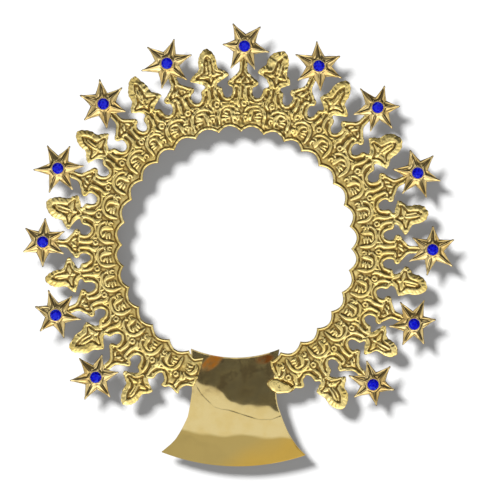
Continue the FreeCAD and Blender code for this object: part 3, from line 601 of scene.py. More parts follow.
def build_strip(number):
    first, last = STRIPS[number]
    rng = np.random.default_rng(7000 + number)
    outline = strip_outline(first, last)
    angles = []
    mid = (AXES[first] + AXES[last]) / 2
    for x, z in outline:
        a = math.degrees(math.atan2(z - RING_Z, x - RING_X))
        angles.append(a + 360 * round((mid - a) / 360))
    radii = [math.hypot(x - RING_X, z - RING_Z) / U for x, z in outline]
    grid = PolarGrid(min(angles) - 0.5, max(angles) + 0.5, min(radii) - 1.0, max(radii) + 1.0)
    # the outline as runs, leaving out the two ends that butt against the neighbouring strips
    runs, run = [], []
    ring = outline + outline[:1]
    for p, q in zip(ring, ring[1:]):
        a = math.degrees(math.atan2(p[1] - RING_Z, p[0] - RING_X))
        b = math.degrees(math.atan2(q[1] - RING_Z, q[0] - RING_X))
        ra, rb = (math.hypot(v[0] - RING_X, v[1] - RING_Z) / U for v in (p, q))
        if abs((a - b + 180) % 360 - 180) < 1.2 and abs(ra - rb) > 18:
            if run:
                runs.append(run)
            run = []
            continue
        if not run:
            run = [p]
        run.append(q)
    if run:
        if runs and runs[0][0] == run[-1]:
            runs[0] = run[:-1] + runs[0]
        else:
            runs.append(run)
    e, s = edge_distance(grid, runs)
    end, _ = edge_distance(grid, [outline + outline[:1]])
    sd = np.where(inside(grid.x, grid.z, outline), end, -end)
    e = np.where((e >= 2.59) & (sd < 2.59) & (sd > -2.59), np.maximum(e, 2.6), e)
    place, d, r = pattern_coordinates(grid, range(first, last + 1))
    leaf = step(r, 157.5, 161.0) * (place % 2 == 1)
    neck = step(r, 166.0, 170.0) * (place % 2 == 0)
    rim = 1 - step(grid.R, 122.5, 125.5)

    # stamped relief over the ground
    h = np.zeros(grid.x.shape)
    field = np.full(h.shape, 3.0)
    for p in range(first, last + 1):
        if p in LEAVES:
            ring = [at(p, *q) for q in leaf_field(p)]
            dist, _ = edge_distance(grid, [ring + ring[:1]], 3.0)
            field = np.where(dist < 3.0, np.where(inside(grid.x, grid.z, ring), -dist, dist), field)
    h -= 0.45 * leaf * (1 - step(field, -0.35, 0.0))
    for p in range(first, last + 1):
        jr = np.random.default_rng(900 + p)
        rows = [(q, "axis") for q in axis_strokes()]
        if p not in (0, 28):
            rows += [(q, "axis") for q in trunk_strokes(p % 2 == 0)]
            if p % 2 == 0:
                rows += [(q, "axis") for q in bouquet_strokes(p)]
            else:
                rows += [(q, "axis") for q in leaf_strokes(p)]
        else:
            rows += [(q, "axis") for q in trunk_strokes(False)[:3]]
        for (pts, widths, hh), painted_facet_levels in rows:
            j = jr.normal(0, 0.10, 2)
            real = [at(p, q[0] + j[0], q[1] + j[1] * 2.0) for q in pts]
            stroke(grid, h, real, [w * U * 1.50 for w in widths], hh * jr.uniform(0.88, 1.06))
        if 0 < p < 28:
            for pts, widths, hh in trunk_grooves(p % 2 == 0) + (bouquet_grooves(p) if p % 2 == 0 else []):
                stroke(grid, h, [at(p, *q) for q in pts], [w * U for w in widths], hh, groove=True)
        for q in ((p - 1, p) if p > 0 else (p,)):
            jq = np.random.default_rng(1500 + q)
            for pts, widths, hh in scroll_strokes():
                j = jq.normal(0, 0.09, 2)
                real = [xz(*real_scallop(q, a + j[0], b + j[1] * 2.0)) for a, b in pts]
                stroke(grid, h, real, [w * U * 1.52 for w in widths], hh * jq.uniform(0.90, 1.05))
    # rolled edges
    lumps = 0.5 + 0.5 * np.cos(2 * math.pi * (s - 0.5 * np.sign(d) * leaf * np.maximum(e, 0)) / 2.5 + 1.7 * np.sin(s / 5.3))
    e0 = 0.86 - 0.10 * neck - 0.12 * rim
    hw = 0.92 - 0.08 * neck - 0.12 * rim
    hb = 0.95 - 0.10 * neck + 0.03 * rim
    bead = hb * np.maximum(0, 1 - np.abs((e - e0) / hw) ** 3.6)
    # the leaf's broad rim falls away outwards; slanted teeth are pressed into it
    slope = 0.42 + 0.27 * np.clip(e, 0, 3.0)
    broad = slope * step(e, -0.05, 0.5) * step(field + 0.16 * (lumps - 0.5), -0.05, 0.45)
    broad -= 0.20 * (1 - lumps) ** 2 * step(e, 0.3, 0.9) * step(field, 0.2, 0.8)
    bead = bead * (1 - leaf) + broad * leaf
    h = np.maximum(h, bead + 0.3 * np.minimum(h, 0))
    h -= 0.28 * leaf * np.maximum(0, 1 - ((field + 0.32) / 0.34) ** 2)
    # thin groove behind the rolled edges of the band
    h -= 0.30 * (1 - leaf) * np.maximum(0, 1 - ((e - 1.84 + 0.28 * rim) / 0.34) ** 2)
    sd = sd - 0.20 * leaf * (1 - lumps) ** 1.5 * (sd < 1.5)
    # cut ends
    if first == 0:
        for pts, widths, hh in (([(247.3, 136.8), (248.7, 139.2), (250.6, 139.6), (252.3, 137.4)], [1.2, 2.8, 2.8, 1.3], 1.0),
                                ([(248.3, 135.0), (250.0, 135.2), (251.3, 132.4), (251.6, 129.0), (251.2, 126.0)], [0.9, 2.2, 3.4, 3.4, 1.5], 1.05),
                                ([(247.6, 132.0), (248.6, 132.6), (249.6, 131.6)], [0.9, 1.9, 0.9], 0.8),
                                ([(247.4, 128.0), (248.5, 128.8), (249.8, 128.2)], [0.9, 1.9, 0.9], 0.85),
                                ([(250.4, 144.6), (251.9, 142.6), (252.6, 141.2)], [0.9, 1.7, 0.8], 0.7)):
            stroke(grid, h, [xz(t, q) for t, q in pts], [w * U * 1.5 for w in widths], hh)
        stroke(grid, h, [xz(245.5, 154), xz(247.5, 147), xz(250.5, 140.5)], [0.5, 0.9, 0.5], 0.4, groove=True)
    if last == 28:
        petal = [xz(t, q) for t, q in [(-69.3, 152.6), (-70.4, 153.9), (-72.4, 152.6), (-74.4, 151.0), (-75.7, 147.6), (-76.6, 143.4),
                                      (-76.4, 140.2), (-74.9, 138.6), (-73.2, 139.8), (-71.4, 144.2), (-69.9, 148.2)]]
        pe, _ = edge_distance(grid, [petal + petal[:1]])
        pe = np.where(inside(grid.x, grid.z, petal), pe, -pe)
        flat = step(pe, -1.6, -0.7)
        h = h * (1 - flat) + (0.80 * step(pe, -1.5, 0.3) + 0.10 * step(pe, 0.3, 2.2)) * flat
        stroke(grid, h, [(23.9, 16.3), (25.8, 15.7), (28.4, 14.8), (30.4, 13.2), (31.6, 11.9)], [0.5, 1.0, 1.0, 1.1, 0.5], 1.1, groove=True)
    # each raised shape leans a little downwards, as the punches left it
    mass = np.clip(h / 0.6, 0, 1)
    centre = blur(mass * grid.z, 14) / np.maximum(blur(mass, 14), 1e-3)
    h = np.where(mass > 0, h + 0.15 * mass * np.clip(grid.z - centre, -1.2, 1.2), h)
    h = RELIEF * blur(h, 1)
    # unevenness of a hand-fitted stamping: the crown of the ring is the most rumpled
    top = step(grid.T, 48, 66) * (1 - step(grid.T, 118, 134))
    h = h * (1 - 0.10 * top)
    h += (0.018 + 0.062 * top) * rumple(grid.x, grid.z, 11, 2.3) + (0.07 + 0.06 * top) * rumple(grid.x, grid.z, 12, 5.6)
    # heads bent a little forwards or back
    for p in range(first, last + 1):
        if p % 2 == 1 and p in LEAVES:
            lr = np.random.default_rng(60 + p)
            lift, twist = lr.uniform(-0.15, 0.55), lr.uniform(-0.045, 0.045)
            h += (place == p) * np.maximum(0, (r - 152) / 43.0) * (lift + twist * d * 2.2)
    # under a star the stem lies flat
    for k in range(13):
        p = 2 * (k + 1)
        if first <= p <= last:
            (cx, cz), poly = star_polygon(k)
            si, sj = grid.window([(cx - 14, cz - 14), (cx + 14, cz + 14), (cx - 14, cz + 14), (cx + 14, cz - 14)], 1.0)
            pe = np.full(grid.x[si, sj].shape, 9.0)
            for (x0, z0), (x1, z1) in zip(poly, poly[1:] + poly[:1]):
                dx, dz = x1 - x0, z1 - z0
                t = np.clip(((grid.x[si, sj] - x0) * dx + (grid.z[si, sj] - z0) * dz) / (dx * dx + dz * dz), 0, 1)
                pe = np.minimum(pe, np.hypot(grid.x[si, sj] - x0 - t * dx, grid.z[si, sj] - z0 - t * dz))
            under = step(np.where(inside(grid.x[si, sj], grid.z[si, sj], poly), pe, -pe), -0.75, 0.1)
            h[si, sj] = h[si, sj] * (1 - under) + np.minimum(h[si, sj], 0.1) * under
    # darkening mask: the recesses, the flat ground and a thin line along the sheet's edge are made darker, partly
    # patina and partly painted shade; the crest mask marks raised tops for a paler painted highlight
    wide = blur(h, 10)
    patina_and_painted_shade = np.clip((wide - h) / 0.12, 0, 1)
    patina_and_painted_shade *= 1 - 0.7 * leaf * step(field, 0.0, 0.4)
    ground = 1 - step(h, 0.02, 0.16)
    patina_and_painted_shade = np.clip(patina_and_painted_shade + 0.42 * ground + 0.55 * np.exp(-(np.maximum(e, 0) / 0.22) ** 2), 0, 1)
    crest = np.clip((h - wide) / 0.20, 0, 1)
    y = GROUND - h
    thick = np.full(h.shape, SKIN)
    obj = sheet_solid("stamped_strip_%d" % (number + 1), grid, y, sd, thick, {"patina_and_painted_shade": patina_and_painted_shade, "crest": crest})
    return obj


# ---------------------------------------------------------------- stars
def build_star(index):
    th, r, arms, valleys = STARS[index]
    cx, cz = xz(th, r)
    rng = np.random.default_rng(2000 + index)
    nu, nw = 13, 44
    rows = []
    dirs = []
    for k in range(6):
        a0, l0 = arms[k]
        a1 = arms[(k + 1) % 6][0]
        if a1 < a0:
            a1 += 360
        t0, t1 = math.radians(a0), math.radians((a0 + a1) / 2)
        dirs.append((U * l0 * math.cos(t0), U * l0 * math.sin(t0)))
        dirs.append((U * valleys[k] * math.cos(t1), U * valleys[k] * math.sin(t1)))
    tip_lift = rng.uniform(-0.12, 0.25, 6)
    rib = rng.uniform(0.10, 0.20, 6)
    edge, ridge, arm = [], [], []
    for k in range(12):
        x0, z0 = dirs[k]
        x1, z1 = dirs[(k + 1) % 12]
        n = math.hypot(x1 - x0, z1 - z0)
        nx, nz = (z1 - z0) / n, -(x1 - x0) / n
        if nx * (x0 + x1) + nz * (z0 + z1) < 0:
            nx, nz = -nx, -nz
        bulge = rng.uniform(-0.30, 0.06)
        for j in range(nu):
            u = j / nu
            # spacing finer towards the ridge and the crease
            u = 0.5 - 0.5 * math.cos(math.pi * u)
            b = bulge * math.sin(math.pi * u) + 0.06 * math.sin(3 * math.pi * u) * rng.uniform(-1, 1)
            # a blunt tip
            t = (u if k % 2 == 0 else 1 - u) * n
            b += 0.24 * math.exp(-((t - 0.7) / 0.8) ** 2) * min(1.0, t / 0.25)
            edge.append((x0 + u * (x1 - x0) + b * nx, z0 + u * (z1 - z0) + b * nz))
            arm.append((k // 2) if k % 2 == 0 else ((k + 1) // 2) % 6)
    edge = np.array(edge)
    arm = np.array(arm)
    m = len(edge)
    w = np.linspace(0.0, 1.0, nw + 1)[1:] ** 0.92
    px, pz = np.outer(w, edge[:, 0]), np.outer(w, edge[:, 1])
    rad = np.hypot(px, pz)
    tips = np.array([dirs[2 * k] for k in range(6)])
    tip = tips[arm]
    length = np.hypot(tip[:, 0], tip[:, 1])
    ax, az = tip[:, 0] / length, tip[:, 1] / length
    a_pos = px * ax + pz * az                      # along the arm
    b_pos = np.abs(px * -az + pz * ax)             # across it
    side = px * -az + pz * ax
    far = a_pos / length
    h = 0.26 + 1.95 * (1 - w)[:, None] * np.ones(m)
    # the folded arm: a sharp rib, sometimes a second one beside it, hollow flanks
    fade = step(far, 0.24, 0.42)
    h += fade * rib[arm] * np.exp(-(b_pos / 0.60) ** 2) * (1 - 0.5 * far)
    h += 0.012 * np.maximum(0, 1 - far) * fade * np.sin(a_pos * 1.3 + index)
    # hollow flanks and a raised lip along the cut edge
    half = np.maximum((length - a_pos) * 0.36, 0.05)
    across = np.clip(b_pos / half, 0, 1)
    dent = rng.uniform(0.16, 0.34, 12)[np.arange(m) // nu]
    h -= fade * dent * np.sin(math.pi * across ** 0.9) * np.clip(half / 1.6, 0, 1)
    h += 0.10 * fade * np.exp(-((1 - across) * half / 0.34) ** 2) * np.clip(half / 0.8, 0, 1)
    h += tip_lift[arm] * step(far, 0.45, 1.0) * (0.4 + 0.6 * far)
    h += 0.022 * rumple(px + 31 * index, pz, 77, 2.8) * step(1 - w, 0.0, 0.12)[:, None]
    # raised hub
    hub = 1 - step(rad, 3.5, 4.35)
    h = np.maximum(h, 0.0)
    h = h * (1 - hub) + 1.6 * hub
    h = np.minimum(h, 1.9)
    # thin rolled lip
    lip = step((1 - w)[:, None] * np.ones(m), 0.0, 0.03)
    h = h * lip + 0.24 * (1 - lip)
    base = -1.4
    # darkening mask of the star, partly patina and partly painted shade: a band along the outer edge and the creases
    # between the arms; the crest mask along each arm's rib gets the paler painted highlight
    crest = np.clip(np.exp(-(b_pos / 0.4) ** 2) * fade, 0, 1)
    groove = np.exp(-((1 - w)[:, None] * length / 0.9) ** 2)
    # painted shade in the creases between the arms
    k_idx = np.arange(m)
    u_pos = (k_idx % (2 * nu)) / nu
    crease = np.exp(-((u_pos - 1.0) / 0.10) ** 2)[None, :] * step(rad, 3.8, 4.6) * np.ones((len(w), 1))
    patina_and_painted_shade = np.clip(0.55 * groove + 0.9 * crease, 0, 1)
    verts, faces = [], []
    fx, fz, fy = cx + px, cz + pz, base - h
    front = np.stack([fx.ravel(), fy.ravel(), fz.ravel()], 1)
    t = 0.42 * (1 - hub) + 0.5 * hub
    t = np.minimum(t, np.maximum(h - 0.02, 0.2))
    back = np.stack([fx.ravel(), (fy + t).ravel(), fz.ravel()], 1)
    n = front.shape[0]
    centre = np.array([[cx, base - 1.6, cz], [cx, base - 1.1, cz]])
    verts = np.concatenate([front, back, centre])
    for i in range(len(w) - 1):
        for j in range(m):
            q = (j + 1) % m
            a, b, c, d = i * m + j, i * m + q, (i + 1) * m + q, (i + 1) * m + j
            faces.append((a, b, c, d))
            faces.append((d + n, c + n, b + n, a + n))
    for j in range(m):
        q = (j + 1) % m
        faces.append((2 * n, q, j))
        faces.append((2 * n + 1, j + n, q + n))
        a, b = (len(w) - 1) * m + j, (len(w) - 1) * m + q
        faces.append((a, b, b + n, a + n))
    # face direction: the first front face has to look forwards
    v = verts[list(faces[0])]
    if np.cross(v[1] - v[0], v[2] - v[0])[1] > 0:
        faces = [f[::-1] for f in faces]
    ridge_col = np.zeros(m, bool)
    ridge_col[::2 * nu] = True
    crease_col = np.zeros(m, bool)
    crease_col[nu::2 * nu] = True
    last_row = (len(w) - 1) * m

    def sharp(pairs):
        a, b = pairs[:, 0], pairs[:, 1]
        inside_front = (a < n) & (b < n)
        inside_back = (a >= n) & (b >= n) & (a < 2 * n) & (b < 2 * n)
        same_col = (a % m) == (b % m)
        out = inside_front & same_col & (ridge_col[a % m] | crease_col[a % m])
        aa, bb = a % n, b % n
        out |= (inside_front | inside_back) & (aa >= last_row) & (bb >= last_row)
        return out
    hol = np.concatenate([patina_and_painted_shade.ravel(), patina_and_painted_shade.ravel(), [0, 0]])
    cre = np.concatenate([crest.ravel(), crest.ravel(), [0, 0]])
    rear = np.concatenate([np.zeros(n), np.ones(n), [0, 1]])
    # thin collar round the stone, a lathe profile standing on the hub, its lip pressed in with small flats
    prof = [(3.42, -2.82), (3.44, -3.08), (3.38, -3.22), (3.28, -3.28), (3.16, -3.27), (3.06, -3.2), (3.03, -3.05), (3.03, -2.9)]
    nc = 72
    ring_v, ring_f = [], []
    off = len(verts)
    for q in range(nc):
        a = 2 * math.pi * q / nc
        dent = 0.045 * math.cos(12 * a + index)
        for rr, yy in prof:
            rr2 = rr + (dent if yy < -3.12 else 0)
            ring_v.append((cx + rr2 * math.cos(a), yy, cz + rr2 * math.sin(a)))
    np_ = len(prof)
    for q in range(nc):
        qq = (q + 1) % nc
        for i in range(np_):
            ii = (i + 1) % np_
            ring_f.append((off + q * np_ + i, off + qq * np_ + i, off + qq * np_ + ii, off + q * np_ + ii))
    ring_v = np.array(ring_v)
    vv = np.concatenate([verts, ring_v])
    # outward test for the collar: its outer wall has to look away from the centre
    f0 = vv[list(ring_f[0])]
    nrm = np.cross(f0[1] - f0[0], f0[2] - f0[0])
    if nrm[0] * (f0[0][0] - cx) + nrm[2] * (f0[0][2] - cz) < 0:
        ring_f = [f[::-1] for f in ring_f]
    nr = len(ring_v)
    # the collar gets part of the paler crest tint, a painted highlight
    obj = make_mesh("star_body_%02d" % (index + 1), vv, faces + ring_f, sharp,
                    {"patina_and_painted_shade": np.concatenate([hol, np.zeros(nr)]), "crest": np.concatenate([cre, np.full(nr, 0.6)]),
                     "rear": np.concatenate([rear, np.zeros(nr)])})
    return obj, (cx, cz)


def build_stone(index, cx, cz):
    turn = STARS[index][0] + 13 * index
    rng = np.random.default_rng(3000 + index)
    seat = -3.0
    v = []

    def ring(n, r, y, start):
        base = len(v)
        for k in range(n):
            t = math.radians(turn + start + 360.0 * k / n)
            v.append((cx + r * math.cos(t), y, cz + r * math.sin(t)))
        return base
    a = ring(16, 2.98, seat, 0)
    b = ring(16, 2.98, seat - 0.42, 0)
    c = ring(8, 2.45, seat - 1.12, 22.5)
    d = ring(8, 1.78, seat - 1.60, 0)
    e = ring(8, 1.62, seat - 1.70, 0)
    f = [tuple(range(a, a + 16)), tuple(range(e, e + 8))]
    # brightness of each facet's blue: painted light and shade of the facets
    painted_facet_levels = [0.1, 0.55]
    for k in range(16):
        n = (k + 1) % 16
        f.append((a + k, a + n, b + n, b + k))
        painted_facet_levels.append(0.05)
    for k in range(8):
        n, q = (k + 1) % 8, (k - 1) % 8
        for tri in ((b + 2 * k, b + 2 * k + 1, c + k), (b + 2 * k + 1, b + (2 * k + 2) % 16, c + k)):
            f.append(tri)
            painted_facet_levels.append(rng.uniform(0.0, 0.9))
        f.append((b + 2 * k, c + k, d + k, c + q))
        painted_facet_levels.append(rng.uniform(0.1, 1.0))
        f.append((d + k, c + k, d + n))
        painted_facet_levels.append(rng.uniform(0.0, 1.0))
        f.append((d + k, d + n, e + n, e + k))
        painted_facet_levels.append(rng.uniform(0.5, 0.9))
    verts = np.array(v)
    faces = []
    mid = np.array([cx, seat - 0.8, cz])
    for g in f:
        p = verts[list(g)]
        nrm = np.cross(p[1] - p[0], p[2] - p[0])
        faces.append(g if nrm @ (p.mean(0) - mid) > 0 else g[::-1])
    obj = make_mesh("stone_glass_%02d" % (index + 1), verts, faces, smooth_faces=False)
    painted_facet_light = obj.data.attributes.new("painted_facet_light", "FLOAT", "FACE")
    painted_facet_light.data.foreach_set("value", np.array(painted_facet_levels, np.float32)[:len(obj.data.polygons)])
    return obj


# ---------------------------------------------------------------- plate and solder
def arc3(p, q, s, n=28):
    """Points on the circle from p through q to s."""
    ax, az, bx, bz, cx, cz = *p, *q, *s
    d = 2 * (ax * (bz - cz) + bx * (cz - az) + cx * (az - bz))
    ux = ((ax * ax + az * az) * (bz - cz) + (bx * bx + bz * bz) * (cz - az) + (cx * cx + cz * cz) * (az - bz)) / d
    uz = ((ax * ax + az * az) * (cx - bx) + (bx * bx + bz * bz) * (ax - cx) + (cx * cx + cz * cz) * (bx - ax)) / d
    r = math.hypot(ax - ux, az - uz)
    t0, t1, t2 = (math.atan2(v[1] - uz, v[0] - ux) for v in (p, q, s))
    while t1 - t0 > math.pi:
        t1 -= 2 * math.pi
    while t1 - t0 < -math.pi:
        t1 += 2 * math.pi
    while t2 - t1 > math.pi:
        t2 -= 2 * math.pi
    while t2 - t1 < -math.pi:
        t2 += 2 * math.pi
    return [(ux + r * math.cos(t0 + (t2 - t0) * k / n), uz + r * math.sin(t0 + (t2 - t0) * k / n)) for k in range(n)]


def plate_outline():
    top = arc3((-23.0, 32.9), (1.6, 28.1), (23.9, 32.6))
    right = smooth([(23.9, 32.6), (21.5, 16.4), (22.2, 8.9), (22.9, 3.4), (24.3, -0.9), (26.3, -6.4), (29.3, -12.9), (33.8, -19.5), (37.9, -23.6)], 8)[:-1]
    foot = arc3((37.9, -23.55), (3.5, -29.55), (-38.8, -21.95), 44)
    left = smooth([(-38.8, -22.0), (-31.2, -15.1), (-25.5, -5.0), (-24.2, -0.7), (-22.8, 7.7), (-22.5, 12.7), (-23.0, 32.9)], 8)[:-1]
    return top + right + foot + left


BEND = [(-40, 20.5), (-23, 18.6), (-19.5, 17.0), (-17.8, 15.2), (-15, 14.1), (-9.5, 12.9), (-6.1, 9.4), (-1.6, 4.5), (4.5, 3.1), (14, 3.6), (18.4, 2.7), (21.8, 0.3), (24, -0.6), (40, -5)]
CREASE = [(-40, 30), (-20.5, 14.5), (-18.9, 12.0), (-17.3, 9.2), (-10.6, 2.5), (-7.2, 1.4), (-2.8, 0.8), (3.9, -1.4), (12.9, -4.2), (19.6, -4.2), (24.0, -2.5), (40, 2)]


def build_plate():
    outline = plate_outline()
    grid = PlainGrid(-39.4, 38.8, -31.0, 33.6, 0.40)
    e, _ = edge_distance(grid, [outline + outline[:1]], 3.0)
    sd = np.where(inside(grid.x, grid.z, outline), e, -e)
    f = grid.z - np.interp(grid.x, [p[0] for p in BEND], [p[1] for p in BEND])
    # the sheet is bent very slightly along a wavy line, and ripples below it
    y = -0.98 + 0.0125 * (np.sqrt(f * f + 2.2) - 1.2)
    # a faint handling crease below the bend
    c = grid.z - np.interp(grid.x, [p[0] for p in CREASE], [p[1] for p in CREASE])
    y += 0.019 * np.exp(-(c / 0.60) ** 2) * step(grid.x, -21.5, -19.0)
    y += 0.030 * rumple(grid.x, grid.z, 501, 26.0) + 0.006 * rumple(grid.x, grid.z, 502, 9.0)
    y += 0.04 * (1 - step(sd, 0.0, 0.25))
    y = np.clip(y, -1.12, -0.62)
    rear = -y - 0.004
    return sheet_solid("base_plate_sheet", grid, y, sd, rear, {"patina_and_painted_shade": 1 - step(sd, 0.0, 0.5), "crest": np.zeros(y.shape)})


def bead_mesh(name, lines):
    """Uneven solder beads: each line is (points in 3D, radii along); every bead is a little flattened."""
    verts, faces = [], []
    rng = np.random.default_rng(88)
    for pts, rads in lines:
        line = smooth([tuple(p) + (q,) for p, q in zip(pts, rads)], 6)
        base = len(verts)
        seg = 18
        for k, (x, y, z, q) in enumerate(line):
            a, b = line[max(k - 1, 0)], line[min(k + 1, len(line) - 1)]
            t = Vector((b[0] - a[0], b[1] - a[1], b[2] - a[2])).normalized()
            u = t.cross(Vector((0, 1, 0)))
            u = u.normalized() if u.length > 1e-3 else Vector((1, 0, 0))
            w = t.cross(u).normalized()
            lump = 1 + 0.16 * math.sin(k * 1.9 + rng.uniform(0, 0.6))
            for s in range(seg):
                an = 2 * math.pi * s / seg
                rr = q * lump * (1 + 0.07 * math.sin(3 * an + k))
                p = Vector((x, y, z)) + u * (rr * math.cos(an)) + w * (rr * 0.8 * math.sin(an))
                verts.append(tuple(p))
        n = len(line)
        for k in range(n - 1):
            for s in range(seg):
                o = (s + 1) % seg
                faces.append((base + k * seg + s, base + k * seg + o, base + (k + 1) * seg + o, base + (k + 1) * seg + s))
        faces.append(tuple(base + s for s in range(seg))[::-1])
        faces.append(tuple(base + (n - 1) * seg + s for s in range(seg)))
    verts = np.array(verts)
    verts[:, 1] = np.minimum(verts[:, 1], -0.03)
    obj = make_mesh(name, verts, faces)
    return obj


def build_solders():
    laps = []
    for first, last in STRIPS[:-1]:
        lo = (AXES[last] + AXES[last + 1]) / 2
        w = 4.0 / (U * 130) * 57.3
        add = along(lo, STRETCH) * (131 - 114) / 81.0
        pts, rads = [], []
        for k, r in enumerate((126.0, 128.5, 131.5, 134.5, 137.0)):
            x, z = xz(lo - w + 0.1 * math.sin(2.1 * k), r + add)
            pts.append((x, -0.62, z))
            rads.append((0.12, 0.42, 0.5, 0.44, 0.12)[k])
        laps.append((pts, rads))
    joints = []
    for sx, (x0, z0), (x1, z1) in ((-1, (-23.0, 29.6), (-22.7, 18.4)), (1, (23.45, 29.3), (22.05, 20.0))):
        pts, rads = [], []
        for k in range(7):
            t = k / 6
            pts.append((x0 + (x1 - x0) * t + sx * 0.28, -0.5, z0 + (z1 - z0) * t))
            rads.append((0.12, 0.42, 0.5, 0.44, 0.52, 0.42, 0.12)[k])
        joints.append((pts, rads))
    stars = []
    for k in range(13):
        th, r = STARS[k][:2]
        pts, rads = [], []
        for j, dr in enumerate((5.4, 3.6, 1.4, -1.2, -3.6, -5.6, -7.4)):
            x, z = xz(th + 0.25 * math.sin(j + k), r + dr * 0.9)
            pts.append((x, (-1.75, -1.85, -1.9, -1.9, -1.75, -1.5, -1.25)[j], z))
            rads.append((0.15, 1.0, 1.45, 1.5, 1.15, 0.75, 0.15)[j])
        stars.append((pts, rads))
    return bead_mesh("solder_at_laps", laps), bead_mesh("solder_at_plate", joints), bead_mesh("solder_behind_stars", stars)


# ---------------------------------------------------------------- materials
class Nodes:
    """Small helper round a node tree: values and sockets mix freely."""

    def __init__(self, tree):
        self.tree = tree
        tree.nodes.clear()

    def node(self, painted_facet_levels, inputs=(), **props):
        made = self.tree.nodes.new(painted_facet_levels)
        for k, v in props.items():
            setattr(made, k, v)
        for k, v in dict(inputs).items():
            if isinstance(v, bpy.types.NodeSocket):
                self.tree.links.new(v, made.inputs[k])
            else:
                made.inputs[k].default_value = v
        return made

    def math(self, op, a, b=0.0, clamp=False):
        n = self.node("ShaderNodeMath", operation=op, use_clamp=clamp)
        for k, v in enumerate((a, b)):
            if isinstance(v, bpy.types.NodeSocket):
                self.tree.links.new(v, n.inputs[k])
            else:
                n.inputs[k].default_value = v
        return n.outputs[0]

    def ramp(self, x, a, b, lo=0.0, hi=1.0):
        n = self.node("ShaderNodeMapRange", {0: x, 1: a, 2: b, 3: lo, 4: hi}, interpolation_type="SMOOTHSTEP")
        return n.outputs[0]

    def colour(self, fac, a, b, blend="MIX"):
        n = self.node("ShaderNodeMix", data_type="RGBA", blend_type=blend)
        for k, v in ((0, fac), (6, a), (7, b)):
            if isinstance(v, bpy.types.NodeSocket):
                self.tree.links.new(v, n.inputs[k])
            else:
                n.inputs[k].default_value = v
        return n.outputs[2]

    def noise(self, vector, scale, detail=2.0, rough=0.5):
        return self.node("ShaderNodeTexNoise", {"Vector": vector, "Scale": scale, "Detail": detail, "Roughness": rough}).outputs[0]


def new_material(name):
    m = bpy.data.materials.new(name)
    m.use_nodes = True
    return m, Nodes(m.node_tree)


